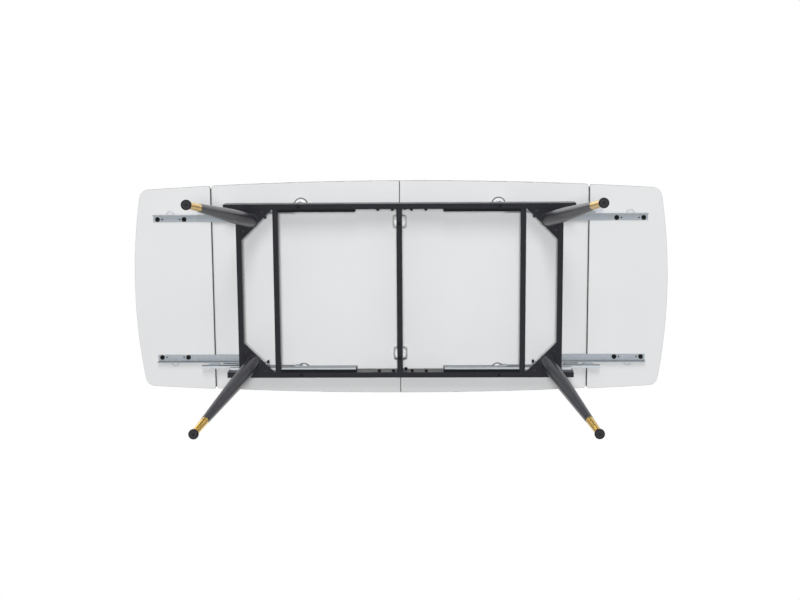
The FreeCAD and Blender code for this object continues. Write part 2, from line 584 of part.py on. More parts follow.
def arm_clip():
    """The half ring of wire on an arm's outer face."""
    centre = V(CLIP_X, ARM_Y[1], LEAF_UNDERSIDE - ARM_HEIGHT / 3)
    ring = Part.makeTorus(CLIP_RADIUS, CLIP_WIRE, centre, UP)
    behind = block((CLIP_X - 30, CLIP_X + 30), (ARM_Y[1] - 30, ARM_Y[1]), (ARM_BOTTOM, LEAF_UNDERSIDE))
    return ring.cut(behind)


def helix_point(turn):
    """A point on a spring's wire line and its direction there, by count of turns."""
    angle = 2 * math.pi * turn
    rise = (SPRING_X[1] - SPRING_X[0] - 2 * SPRING_WIRE) / SPRING_TURNS
    across = V(0, math.cos(angle), math.sin(angle)) * SPRING_RADIUS
    point = V(SPRING_X[0] + SPRING_WIRE + rise * turn, SPRING_Y, SPRING_Z) + across
    course = V(rise / (2 * math.pi), -SPRING_RADIUS * math.sin(angle), SPRING_RADIUS * math.cos(angle))
    return point, course.normalize()


def tangent_arc(start, bend, end):
    """The arc between two points that has its tangents meeting at a third."""
    middle = (start + end) / 2
    lift = bend - middle
    reach = (start - middle).Length
    quarter = math.atan2(lift.Length, reach) / 2
    return Part.Arc(start, middle + lift / lift.Length * reach * math.tan(quarter), end).toShape()


def biarc(turn0, turn1):
    """Two smoothly joined arcs that follow the spring's wire line between two counts of turns."""
    (p0, t0), (p1, t1) = helix_point(turn0), helix_point(turn1)
    chord, both = p1 - p0, t0 + t1
    spread = 2 * (1 - t0.dot(t1))
    reach = (math.sqrt(chord.dot(both) ** 2 + spread * chord.dot(chord)) - chord.dot(both)) / spread
    joint = (p0 + p1 + (t0 - t1) * reach) / 2
    return [tangent_arc(p0, p0 + t0 * reach, joint), tangent_arc(joint, p1 - t1 * reach, p1)]


def lift_spring():
    """A tension spring between the runner's peg and the arm's, as one unbroken tube."""
    halves = [i / 2 for i in range(2 * SPRING_TURNS)]
    line = Part.Wire([arc for turn in halves for arc in biarc(turn, turn + 0.5)])
    point, course = helix_point(0)
    end = Part.Wire([Part.Circle(point, course, SPRING_WIRE).toShape()])
    return line.makePipeShell([end], True, False)


def spring_gap():
    """Least gap of a spring's wire to itself, measured on points along its line."""
    steps = 24
    points = [helix_point(i / steps)[0] for i in range(4 * steps)]
    pairs = [(a, b) for i, a in enumerate(points) for b in points[i + steps // 2:]]
    return min((a - b).Length for a, b in pairs) - 2 * SPRING_WIRE


os.makedirs("parts", exist_ok=True)

# Fixed top, rails and cross tubes
for side in SIDES:
    save("main_top_" + side, in_quadrant(main_half(), side, "rear"))
    save("leaf_" + side, in_quadrant(leaf(), side, "rear"))
    save("end_tube_" + side, cross_tube(SIDES[side] * END_TUBE_X, LOW_TUBE_TOP))
    save("inner_tube_" + side, cross_tube(SIDES[side] * INNER_TUBE_X, LOW_TUBE_TOP))
centre = cross_tube(0, RAIL_TOP)
for sign in ROWS.values():
    centre = centre.cut(standoff_bore(0, sign * STANDOFF_CENTRE_Y))
save("centre_tube", centre)
save("rail_inserts", *[in_quadrant(rail_insert(), "right", row) for row in ROWS])

# Pieces that stand at all four corners, each a node of its own
CORNER_PIECES = {"gusset": gusset, "leg": leg, "leg_sleeve": leg_sleeve, "foot": foot,
                 "slide_channel": slide_channel, "slide_runner": slide_runner, "leaf_arm": leaf_arm,
                 "lift_spring": lift_spring}
CORNERS = [(side, row) for side in SIDES for row in ROWS]
for side, row in CORNERS:
    save("rail_" + row + "_" + side, in_quadrant(rail_half(side), side, row))
for name, make in CORNER_PIECES.items():
    piece = make()
    for side, row in CORNERS:
        save(name + "_" + row + "_" + side, in_quadrant(piece, side, row))

# Alike small pieces of the frame, as groups of separate solids
save("rail_caps", *[in_quadrant(rail_cap(), *corner) for corner in CORNERS])
save("leg_bolts", *[in_quadrant(leg_bolt(), *corner) for corner in CORNERS])
save("slide_supports", *[in_quadrant(slide_support(), *corner) for corner in CORNERS])
save("joint_bolts", *[in_quadrant(joint_bolt(SIDES[corner[0]] * JOINT_X + x), *corner)
                      for corner in CORNERS for x in JOINT_BOLT_X])
rail_spots = [(a * STANDOFF_X, b * RAIL_CENTRE_Y) for a in SIDES.values() for b in ROWS.values()]
centre_spots = [b * STANDOFF_CENTRE_Y for b in ROWS.values()]
save("standoffs", *[standoff(*spot) for spot in rail_spots], *[centre_standoff(y) for y in centre_spots])
save("standoff_bolts", *[standoff_bolt(*spot) for spot in rail_spots + [(0, y) for y in centre_spots]])

# Alike small pieces that move with a leaf or its ball cages
for side in SIDES:
    both = [(side, row) for row in ROWS]
    save("ball_cages_" + side, *[in_quadrant(ball_cage(), *corner) for corner in both])
    save("arm_bolts_" + side, *[in_quadrant(arm_bolt(x), *corner) for corner in both for x in ARM_BOLT_X])
    save("arm_clips_" + side, *[in_quadrant(arm_clip(), *corner) for corner in both])
    links = [lift_link(*ends) for ends in LINK_X] + [lift_bracket()]
    save("lift_links_" + side, *[in_quadrant(link, *corner) for corner in both for link in links])
print("spring: least gap of the wire to itself", round(spring_gap(), 2), "mm")
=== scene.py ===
"""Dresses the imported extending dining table, seen from below with both leaves drawn out.

Every length is in metres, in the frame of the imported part: +Z up, X along the table, and the
origin on the floor under its middle. A piece's seat is read from the node that carries it, or
repeats one of the part's own sizes.
"""

import logging
import math
from dataclasses import dataclass
from enum import Enum
from typing import Any, Iterable, Sequence

import bmesh
import bpy
from mathutils import Euler, Matrix, Vector


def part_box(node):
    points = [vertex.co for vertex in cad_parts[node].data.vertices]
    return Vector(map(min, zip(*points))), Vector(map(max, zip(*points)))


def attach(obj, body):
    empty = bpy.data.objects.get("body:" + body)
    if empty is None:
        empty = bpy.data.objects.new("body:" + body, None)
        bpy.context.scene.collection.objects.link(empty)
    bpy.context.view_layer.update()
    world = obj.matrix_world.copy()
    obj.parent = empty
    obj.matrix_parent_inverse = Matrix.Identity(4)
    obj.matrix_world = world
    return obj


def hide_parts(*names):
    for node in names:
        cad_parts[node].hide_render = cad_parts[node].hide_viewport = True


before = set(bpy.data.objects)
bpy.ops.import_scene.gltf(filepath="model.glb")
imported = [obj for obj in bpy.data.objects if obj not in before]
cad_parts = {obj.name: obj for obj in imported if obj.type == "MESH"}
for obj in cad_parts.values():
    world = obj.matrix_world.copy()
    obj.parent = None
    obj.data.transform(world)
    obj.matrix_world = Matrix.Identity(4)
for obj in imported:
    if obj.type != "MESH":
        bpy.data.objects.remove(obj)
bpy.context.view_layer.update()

LOG = logging.getLogger("dining_table")
Pair = tuple[float, float]
Point = tuple[float, float, float]
Colour = tuple[float, float, float]
Spot = tuple[Point, Point]
Outline = Sequence[Pair]
UNTURNED: Point = (0.0, 0.0, 0.0)
HEAD_DOWN: Point = (math.pi, 0.0, 0.0)
FOOT_CENTRE: Pair = (0.655, 0.371)
RAIL_CUP_CENTRE: Pair = (0.3675, 0.3135)
CENTRE_CUP_CENTRE: Pair = (0.0, 0.25)


class Half(Enum):
    """A half of the table, with the sign of its axis there."""

    @property
    def word(self) -> str:
        """The half's word in node names."""
        return self.name.lower()


class Side(Half):
    """The two ends of the table, with the sign of X there."""

    LEFT = -1
    RIGHT = 1


class Row(Half):
    """The two long sides of the table, with the sign of Y there."""

    FRONT = -1
    REAR = 1

    @property
    def inward(self) -> Point:
        """The turn that points a bolt's head at the table's long middle line."""
        return (self.value * math.pi / 2, 0.0, 0.0)


CORNERS = [(side, row) for side in Side for row in Row]


def corner_node(name: str, side: Side, row: Row) -> str:
    """The name of a node that stands at a corner."""
    return f"{name}_{row.word}_{side.word}"


def node_box(name: str) -> tuple[Vector, Vector]:
    """The lowest and highest corner of a node at rest."""
    low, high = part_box(name)
    return Vector(low), Vector(high)


class Signal:
    """A shader value that takes part in Python sums, each of which adds a Math node."""

    def __init__(self, wiring: "Wiring", socket: bpy.types.NodeSocket) -> None:
        """Wrap one output socket of a tree."""
        self.wiring = wiring
        self.socket = socket

    def _math(self, operation: str, first: Any, second: Any = 0.0) -> "Signal":
        """Add one Math node for two signals or numbers."""
        node = self.wiring.add("ShaderNodeMath", {"operation": operation}, {0: first, 1: second})
        return Signal(self.wiring, node.outputs[0])

    def __add__(self, other: Any) -> "Signal":
        """This signal plus another."""
        return self._math("ADD", self, other)

    __radd__ = __add__

    def __sub__(self, other: Any) -> "Signal":
        """This signal less another."""
        return self._math("SUBTRACT", self, other)

    def __rsub__(self, other: Any) -> "Signal":
        """A number less this signal."""
        return self._math("SUBTRACT", other, self)

    def __mul__(self, other: Any) -> "Signal":
        """This signal times another."""
        return self._math("MULTIPLY", self, other)

    __rmul__ = __mul__

    def __abs__(self) -> "Signal":
        """The size of this signal."""
        return self._math("ABSOLUTE", self)

    def power(self, exponent: float) -> "Signal":
        """This signal raised to a power."""
        return self._math("POWER", self, exponent)

    def sine(self) -> "Signal":
        """The sine of this signal."""
        return self._math("SINE", self)

    def angle(self, across: "Signal") -> "Signal":
        """The angle of a point with this signal as its height over another."""
        return self._math("ARCTAN2", self, across)

    def largest(self, other: "Signal") -> "Signal":
        """The larger of two signals."""
        return self._math("MAXIMUM", self, other)

    def ramp(self, low: float, high: float) -> "Signal":
        """Ease this signal from nought to one.

        Args:
            low: Where it is still nought.
            high: Where it is one.

        Returns:
            The eased signal, with both ends held.
        """
        settings = {"interpolation_type": "SMOOTHSTEP"}
        node = self.wiring.add("ShaderNodeMapRange", settings, {0: self, 1: low, 2: high})
        return Signal(self.wiring, node.outputs[0])


class Wiring:
    """A node tree, with one way to add a node and one way to feed a socket."""

    def __init__(self, tree: bpy.types.NodeTree) -> None:
        """Take over a tree."""
        self.tree = tree

    def add(self, kind: str, settings: dict[str, Any] | None = None,
            inputs: dict[Any, Any] | None = None) -> bpy.types.Node:
        """Add any node.

        Args:
            kind: The node's type.
            settings: Its own settings, which are set first.
            inputs: A value, socket or signal for each input, by name or by place.

        Returns:
            The node.
        """
        node = self.tree.nodes.new(kind)
        for key, value in (settings or {}).items():
            setattr(node, key, value)
        for key, value in (inputs or {}).items():
            self.give(node.inputs[key], value)
        return node

    def give(self, target: bpy.types.NodeSocket, value: Any) -> None:
        """Feed an input.

        Args:
            target: The input.
            value: A plain value, or the socket or signal to link to it.
        """
        if isinstance(value, Signal):
            value = value.socket
        if isinstance(value, bpy.types.NodeSocket):
            self.tree.links.new(value, target)
        else:
            target.default_value = value

    def mix(self, share: Signal, first: bpy.types.Node, second: bpy.types.Node) -> bpy.types.Node:
        """Mix the shaders of two nodes."""
        inputs = {0: share, 1: first.outputs[0], 2: second.outputs[0]}
        return self.add("ShaderNodeMixShader", {}, inputs)


class Graph(Wiring):
    """The node tree of one material, with the few nodes that the finishes share."""

    def __init__(self, material: bpy.types.Material) -> None:
        """Empty a material's tree and give it a shader and an output.

        Args:
            material: The material.
        """
        material.use_nodes = True
        super().__init__(material.node_tree)
        self.tree.nodes.clear()
        self.output = self.add("ShaderNodeOutputMaterial")
        self.shader = self.add("ShaderNodeBsdfPrincipled")
        self.give(self.output.inputs["Surface"], self.shader.outputs[0])

    def place(self, scale: Point = (1.0, 1.0, 1.0)) -> bpy.types.NodeSocket:
        """Read the object's own coordinates.

        Args:
            scale: How far they are stretched along each axis.

        Returns:
            The coordinates.
        """
        coordinates = self.add("ShaderNodeTexCoord")
        inputs = {"Vector": coordinates.outputs["Object"], "Scale": scale}
        return self.add("ShaderNodeMapping", {}, inputs).outputs[0]

    def axes(self) -> tuple[Signal, Signal, Signal]:
        """The object's own X, Y and Z."""
        parts = self.add("ShaderNodeSeparateXYZ", {}, {0: self.place()})
        return tuple(Signal(self, socket) for socket in parts.outputs)

    def spread(self, centre: Pair) -> tuple[Signal, Signal, Signal]:
        """Measure from the nearest of four mirrored spots.

        Args:
            centre: The spot where X and Y are positive.

        Returns:
            How far off a point lies along X, along Y, and straight.
        """
        x, y, _ = self.axes()
        out_x, out_y = abs(abs(x) - centre[0]), abs(abs(y) - centre[1])
        return out_x, out_y, (out_x * out_x + out_y * out_y).power(0.5)

    def upright(self) -> Signal:
        """Read how far the surface faces up or down.

        Returns:
            One or minus one on level faces, nought on upright ones.
        """
        geometry = self.add("ShaderNodeNewGeometry")
        parts = self.add("ShaderNodeSeparateXYZ", {}, {0: geometry.outputs["True Normal"]})
        return Signal(self, parts.outputs[2])

    def noise(self, scale: float, detail: float = 2.0, stretch: Point = (1.0, 1.0, 1.0)) -> Signal:
        """Soft noise over the object's coordinates."""
        inputs = {"Vector": self.place(stretch), "Scale": scale, "Detail": detail}
        return Signal(self, self.add("ShaderNodeTexNoise", {}, inputs).outputs[0])

    def blend(self, share: Signal, low: Any, high: Any) -> bpy.types.NodeSocket:
        """Mix two colours.

        Args:
            share: How much of the second one there is.
            low: The first colour, or a socket that gives it.
            high: The second colour, or a socket that gives it.

        Returns:
            The mixed colour.
        """
        first, second = (value if isinstance(value, bpy.types.NodeSocket) else (*value, 1.0)
                         for value in (low, high))
        # The node's two colours are its seventh and eighth input, and its mixed colour the third output.
        return self.add("ShaderNodeMix", {"data_type": "RGBA"}, {0: share, 6: first, 7: second}).outputs[2]

    def feed(self, name: str, value: Any) -> None:
        """Give one of the shader's inputs a value, a socket or a signal."""
        self.give(self.shader.inputs[name], value)

    def fed(self, name: str) -> bpy.types.NodeSocket:
        """The socket that already feeds one of the shader's inputs."""
        return self.shader.inputs[name].links[0].from_socket

    def bump(self, height: Signal, distance: float) -> None:
        """Raise the surface by a height map."""
        raised = self.add("ShaderNodeBump", {}, {"Height": height, "Distance": distance})
        self.feed("Normal", raised.outputs[0])


@dataclass(frozen=True)
class Finish:
    """A finish with a name, a main colour and a roughness.

    In the finishes that follow, a scale is that of a noise, a span is the stretch of a signal that
    is eased from nought to one, and a rough value is how much a signal adds to the roughness.
    A drop is taken off the roughness first, so that it varies about its main value.
    """

    name: str
    colour: Colour
    roughness: float

    def material(self) -> bpy.types.Material:
        """Make the material.

        Returns:
            A new material with this finish's nodes.
        """
        material = bpy.data.materials.new(self.name)
        self.shade(Graph(material))
        return material

    def tint(self, factor: float) -> Colour:
        """The main colour made lighter or darker."""
        return tuple(min(1.0, part * factor) for part in self.colour)

    def toned(self, graph: Graph, share: Signal, tones: Iterable[float]) -> bpy.types.NodeSocket:
        """The main colour, mixed from a darker and a lighter tone of it."""
        return graph.blend(share, *(self.tint(tone) for tone in tones))

    def shade(self, graph: Graph) -> None:
        """Add this finish's nodes to a graph."""
        raise NotImplementedError


@dataclass(frozen=True)
class BoardFinish(Finish):
    """Smooth pale board with a faint cloud in its colour and a dark, rough edge."""

    edge: Colour = (0.04, 0.04, 0.042)
    edge_rough: float = 0.6
    level_span: Pair = (0.6, 0.99)
    cloud: float = 0.975
    cloud_scale: float = 3.0
    cloud_span: Pair = (0.3, 0.7)
    smear: float = 0.12
    smear_scale: float = 14.0
    smear_stretch: Point = (1.0, 2.5, 1.0)
    peel: float = 0.00006
    peel_scale: float = 420.0

    def shade(self, graph: Graph) -> None:
        """Cloud the faces, darken the edges and give the surface a fine peel.

        Args:
            graph: The material's graph.
        """
        cloud = graph.noise(self.cloud_scale, detail=4.0).ramp(*self.cloud_span)
        faces = graph.blend(cloud, self.tint(self.cloud), self.colour)
        level = abs(graph.upright()).ramp(*self.level_span)
        graph.feed("Base Color", graph.blend(level, self.edge, faces))
        smear = graph.noise(self.smear_scale, detail=3.0, stretch=self.smear_stretch)
        smooth = self.roughness - self.smear / 2
        graph.feed("Roughness", smear * self.smear + smooth + (1.0 - level) * self.edge_rough)
        graph.bump(graph.noise(self.peel_scale), self.peel)


@dataclass(frozen=True)
class PaintFinish(Finish):
    """Powder paint with a fine grain and a faint cloud in its colour and sheen."""

    grain: float = 900.0
    depth: float = 0.00012
    gloss: float = 0.25
    cloud: float = 0.13
    cloud_scale: float = 26.0
    cloud_span: Pair = (0.25, 0.8)
    cloud_rough: float = 0.77
    grain_rough: float = 0.08
    rough_drop: float = 0.09

    def shade(self, graph: Graph) -> None:
        """Cloud the paint and give it its grain.

        Args:
            graph: The material's graph.
        """
        graph.feed("Specular IOR Level", self.gloss)
        cloud = graph.noise(self.cloud_scale, detail=4.0).ramp(*self.cloud_span)
        graph.feed("Base Color", self.toned(graph, cloud, (1.0 - self.cloud, 1.0 + self.cloud)))
        grain = graph.noise(self.grain)
        smooth = self.roughness - self.rough_drop
        graph.feed("Roughness", cloud * (self.cloud * self.cloud_rough) + grain * self.grain_rough + smooth)
        graph.bump(grain, self.depth)


@dataclass(frozen=True)
class RolledMetalFinish(Finish):
    """Bright plated steel with streaks along the way it was rolled, and upright walls darkened with painted
    shade.
    """

    along: Point = (1.0, 60.0, 60.0)
    metal: float = 1.0
    wall: float = 1.0
    level_span: Pair = (0.3, 0.75)
    spangle_scale: float = 70.0
    spangle_span: Pair = (0.2, 0.8)
    spangle_share: float = 0.4
    streak_scale: float = 9.0
    streak_share: float = 0.6
    streak_rough: float = 0.16
    streak_depth: float = 0.00008
    tones: Pair = (0.82, 1.14)

    def shade(self, graph: Graph) -> None:
        """Streak the metal, vary its plating and paint shade on its upright walls.

        Args:
            graph: The material's graph.
        """
        streak = graph.noise(self.streak_scale, detail=5.0, stretch=self.along)
        spangle = graph.noise(self.spangle_scale, detail=3.0).ramp(*self.spangle_span)
        share = streak * self.streak_share + spangle * self.spangle_share
        level = abs(graph.upright()).ramp(*self.level_span)
        # Upright faces get a darker tone: painted shade on the walls, not the metal's own colour.
        shaded_walls = self.toned(graph, share, [tone * self.wall for tone in self.tones])
        faces = self.toned(graph, share, self.tones)
        graph.feed("Base Color", graph.blend(level, shaded_walls, faces))
        graph.feed("Metallic", self.metal)
        graph.feed("Roughness", streak * self.streak_rough + (self.roughness - self.streak_rough / 2))
        graph.bump(streak, self.streak_depth)


@dataclass(frozen=True)
class ChannelFinish(RolledMetalFinish):
    """Plated steel with painted shade: a dark line along the channels' open side and inner ends, for the
    shadow inside the channel.
    """

    side: float = 0.2921
    end: float = 0.162
    lip: float = 0.0026
    fade: float = 0.8
    grease: float = 0.2

    def shade(self, graph: Graph) -> None:
        """Plate the metal and paint shade along its lips.

        Args:
            graph: The material's graph.
        """
        super().shade(graph)
        x, y, _ = graph.axes()
        near_side = abs(y).ramp(self.side + self.lip * self.fade, self.side + self.lip)
        near_end = abs(x).ramp(self.end + self.lip * self.fade, self.end + self.lip)
        plated = graph.fed("Base Color")
        # The dark line is painted shade, for the shadow inside the channel along its open side and at its
        # inner ends.
        graph.feed("Base Color", graph.blend(near_side * near_end, self.tint(self.grease), plated))


@dataclass(frozen=True)
class TurnedMetalFinish(Finish):
    """Polished metal with faint lathe rings in its sheen and a haze in its polish."""

    ring: float = 2600.0
    ring_rough: float = 0.04
    haze: float = 0.08
    haze_scale: float = 55.0
    haze_span: Pair = (0.3, 0.75)
    rough_drop: float = 0.05
    tones: Pair = (0.94, 1.05)

    def hazed(self, graph: Graph) -> Signal:
        """The haze of the polish, from nought to one."""
        return graph.noise(self.haze_scale, detail=4.0).ramp(*self.haze_span)

    def shade(self, graph: Graph) -> None:
        """Ring the metal along its height and haze its polish.

        Args:
            graph: The material's graph.
        """
        _, _, height = graph.axes()
        rings = (height * self.ring).sine() * 0.5 + 0.5
        haze = self.hazed(graph)
        graph.feed("Base Color", self.toned(graph, haze, self.tones))
        graph.feed("Metallic", 1.0)
        smooth = self.roughness - self.rough_drop
        graph.feed("Roughness", haze * self.haze + rings * self.ring_rough + smooth)


@dataclass(frozen=True)
class SleeveFinish(TurnedMetalFinish):
    """Lacquered brass with painted reflections: darker streaks along each sleeve, set round the splayed
    axes of the legs.
    """

    foot: Pair = FOOT_CENTRE
    splay: Pair = (0.17395, 0.16771)
    streaks: int = 5
    first: float = math.radians(185.0)
    streak_span: Pair = (0.3, 0.95)
    dark: float = 0.46
    lacquer: float = 0.55
    lacquer_rough: float = 0.12

    def shade(self, graph: Graph) -> None:
        """Paint dark reflection streaks along the leg and lacquer the brass.

        Args:
            graph: The material's graph.
        """
        super().shade(graph)
        x, y, z = graph.axes()
        out_x = abs(x) - self.foot[0] + z * self.splay[0]
        out_y = abs(y) - self.foot[1] + z * self.splay[1]
        # The dark streaks are painted reflections of dark surroundings, set at fixed angles round each leg.
        wave = (out_y.angle(out_x) * self.streaks + (math.pi / 2 - self.first * self.streaks)).sine()
        streak = wave.ramp(*self.streak_span)
        polished = graph.fed("Base Color")
        graph.feed("Base Color", graph.blend(streak, polished, self.tint(self.dark)))
        graph.feed("Coat Weight", self.lacquer)
        graph.feed("Coat Roughness", self.lacquer_rough)


@dataclass(frozen=True)
class PlasticFinish(Finish):
    """Moulded plastic with a fine spark-eroded grain."""

    gloss: float = 0.3
    speck_scale: float = 1400.0
    speck_rough: float = 0.16
    speck_depth: float = 0.00015
    cloud_scale: float = 40.0
    cloud_span: Pair = (0.3, 0.7)
    cloud_rough: float = 0.08
    tones: Pair = (0.8, 1.25)

    def shade(self, graph: Graph) -> None:
        """Speckle the plastic and give it its grain.

        Args:
            graph: The material's graph.
        """
        graph.feed("Specular IOR Level", self.gloss)
        speck = graph.noise(self.speck_scale)
        cloud = graph.noise(self.cloud_scale, detail=3.0).ramp(*self.cloud_span)
        graph.feed("Base Color", self.toned(graph, cloud, self.tones))
        smooth = self.roughness - (self.speck_rough + self.cloud_rough) / 2
        graph.feed("Roughness", speck * self.speck_rough + cloud * self.cloud_rough + smooth)
        graph.bump(speck, self.speck_depth)


@dataclass(frozen=True)
class FootFinish(PlasticFinish):
    """Moulded plastic with ring grooves under each foot, and a lighter ring painted in as a highlight."""

    centre: Pair = FOOT_CENTRE
    pitch: float = 0.004
    groove: float = 0.0004
    groove_span: Pair = (0.2, 0.9)
    groove_share: float = 0.6
    speck_share: float = 0.4
    worn: float = 0.009
    worn_span: Pair = (0.4, 1.0)
    worn_tones: Pair = (0.8, 1.8)

    def shade(self, graph: Graph) -> None:
        """Groove the foot in rings round its own centre and paint a highlight ring on it.

        Args:
            graph: The material's graph.
        """
        _, _, reach = graph.spread(self.centre)
        ring = (reach * (2 * math.pi / self.pitch)).sine().ramp(*self.groove_span)
        graph.feed("Specular IOR Level", self.gloss)
        speck = graph.noise(self.speck_scale)
        # The lighter ring is a painted highlight.
        highlight_band = (reach * (math.pi / 2 / self.worn)).sine().ramp(*self.worn_span)
        graph.feed("Base Color", self.toned(graph, highlight_band, self.worn_tones))
        graph.feed("Roughness", speck * self.speck_rough + (self.roughness - self.speck_rough / 2))
        graph.bump(ring * self.groove_share + speck * self.speck_share, self.groove)


@dataclass(frozen=True)
class StandoffFinish(TurnedMetalFinish):
    """Bright metal with a polished boss, a satin flange and a dark rim of painted reflection, round the
    mirrored spots.
    """

    centre: Pair = RAIL_CUP_CENTRE
    boss: float = 0.0212
    rim: float = 0.0245
    square: bool = False
    fade: float = 0.0008
    satin: float = 0.48
    satin_rough: float = 0.15
    dark: float = 0.16

    def shade(self, graph: Graph) -> None:
        """Band the metal from its centre out, with a painted dark reflection on the rim.

        Args:
            graph: The material's graph.
        """
        out_x, out_y, reach = graph.spread(self.centre)
        edge = out_x.largest(out_y) if self.square else reach
        haze = self.hazed(graph)
        satin = reach.ramp(self.boss - self.fade, self.boss + self.fade)
        inner = graph.blend(satin, self.colour, self.tint(self.satin))
        # The dark rim is a painted reflection of darker surroundings in the bevel.
        dark = edge.ramp(self.rim - self.fade, self.rim + self.fade)
        graph.feed("Base Color", graph.blend(dark, inner, self.tint(self.dark)))
        graph.feed("Metallic", 1.0)
        smooth = self.roughness - self.rough_drop
        graph.feed("Roughness", haze * self.haze + satin * self.satin_rough + smooth)


class Finishes(Enum):
    """The finishes of the table, by the part that wears them."""

    BOARD = BoardFinish("pale_board", (0.803, 0.81, 0.818), 0.34)
    FRAME = PaintFinish("frame_paint", (0.0135, 0.014, 0.0185), 0.34)
    LEG = PaintFinish("leg_paint", (0.0225, 0.023, 0.0295), 0.33, grain=700.0, depth=0.000012, gloss=0.44,
                      cloud=0.05)
    SUPPORT = PaintFinish("support_black", (0.011, 0.011, 0.013), 0.6, depth=0.00005, gloss=0.1)
    # The wall factor darkens the upright faces of the channels, runners and arms as painted shade.
    CHANNEL = ChannelFinish("channel_zinc", (0.78, 0.83, 0.88), 0.36, metal=0.2, wall=0.32)
    SLIDE = RolledMetalFinish("slide_zinc", (0.62, 0.66, 0.70), 0.36, metal=0.2, wall=0.25)
    ARM = RolledMetalFinish("arm_zinc", (0.42, 0.462, 0.502), 0.38, metal=0.4, wall=0.6)
    CAGE = RolledMetalFinish("cage_steel", (0.45, 0.45, 0.46), 0.4)
    SPRING = RolledMetalFinish("spring_steel", (0.11, 0.115, 0.12), 0.36, along=(40.0, 1.0, 1.0))
    BRASS = SleeveFinish("sleeve_brass", (0.775, 0.487, 0.09), 0.3, haze=0.03)
    RAIL_CUP = StandoffFinish("rail_cup_chrome", (0.9, 0.91, 0.92), 0.14)
    CENTRE_CUP = StandoffFinish("centre_cup_chrome", (0.9, 0.91, 0.92), 0.14, centre=CENTRE_CUP_CENTRE,
                                boss=0.0205, rim=0.0235, square=True, dark=0.36)
    SCREW = RolledMetalFinish("screw_zinc", (0.06, 0.061, 0.064), 0.35)
    BOLT = PaintFinish("bolt_black", (0.008, 0.008, 0.009), 0.5, grain=1500.0, depth=0.00005, gloss=0.15)
    PLASTIC = PlasticFinish("cap_plastic", (0.012, 0.012, 0.014), 0.5)
    FOOT = FootFinish("foot_plastic", (0.0195, 0.019, 0.0215), 0.5, gloss=0.15)
    # A dark fill for the seams: it stands in for the shade in the gaps between the panels.
    RUBBER = PlasticFinish("seam_rubber", (0.08, 0.08, 0.083), 0.6)


class Paintbox:
    """Makes each finish's material once and puts it on carried-over nodes."""

    def __init__(self) -> None:
        """Start with no material made."""
        self.made: dict[Finishes, bpy.types.Material] = {}

    def material(self, finish: Finishes) -> bpy.types.Material:
        """Make a finish's material, or find it.

        Args:
            finish: The finish.

        Returns:
            Its material.
        """
        if finish not in self.made:
            self.made[finish] = finish.value.material()
        return self.made[finish]

    def paint_nodes(self, finish: Finishes, names: Iterable[str]) -> None:
        """Put a finish on carried-over nodes.

        Args:
            finish: The finish.
            names: The nodes.
        """
        for name in names:
            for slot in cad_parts[name].material_slots:
                slot.material = self.material(finish)
            LOG.info("%s in %s", name, finish.value.name)

    def paint_corners(self, finish: Finishes, *names: str) -> None:
        """Put a finish on the nodes that stand at all four corners."""
        for name in names:
            self.paint_nodes(finish, [corner_node(name, *corner) for corner in CORNERS])


def new_object(name: str, data: Any) -> bpy.types.Object:
    """Put an object into the scene.

    Args:
        name: The object's name.
        data: Its mesh, lamp or camera.

    Returns:
        The object, at the origin.
    """
    made = bpy.data.objects.new(name, data)
    bpy.context.scene.collection.objects.link(made)
    return made


@dataclass(frozen=True)
class Role:
    """What a piece rides on and stands for.

    Attributes:
        body: The body that carries the piece.
        slot: The record's slot that its finish belongs to; not used.
        replaced: The node that it replaces, if it replaces one.
    """

    body: str
    slot: str
    replaced: str = ""

    def give(self, piece: bpy.types.Object) -> None:
        """Give the role to a piece and report it.

        Args:
            piece: The piece.
        """
        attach(piece, self.body)
        if self.replaced:
            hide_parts(self.replaced)
        LOG.info("%s on %s", piece.name, self.body)


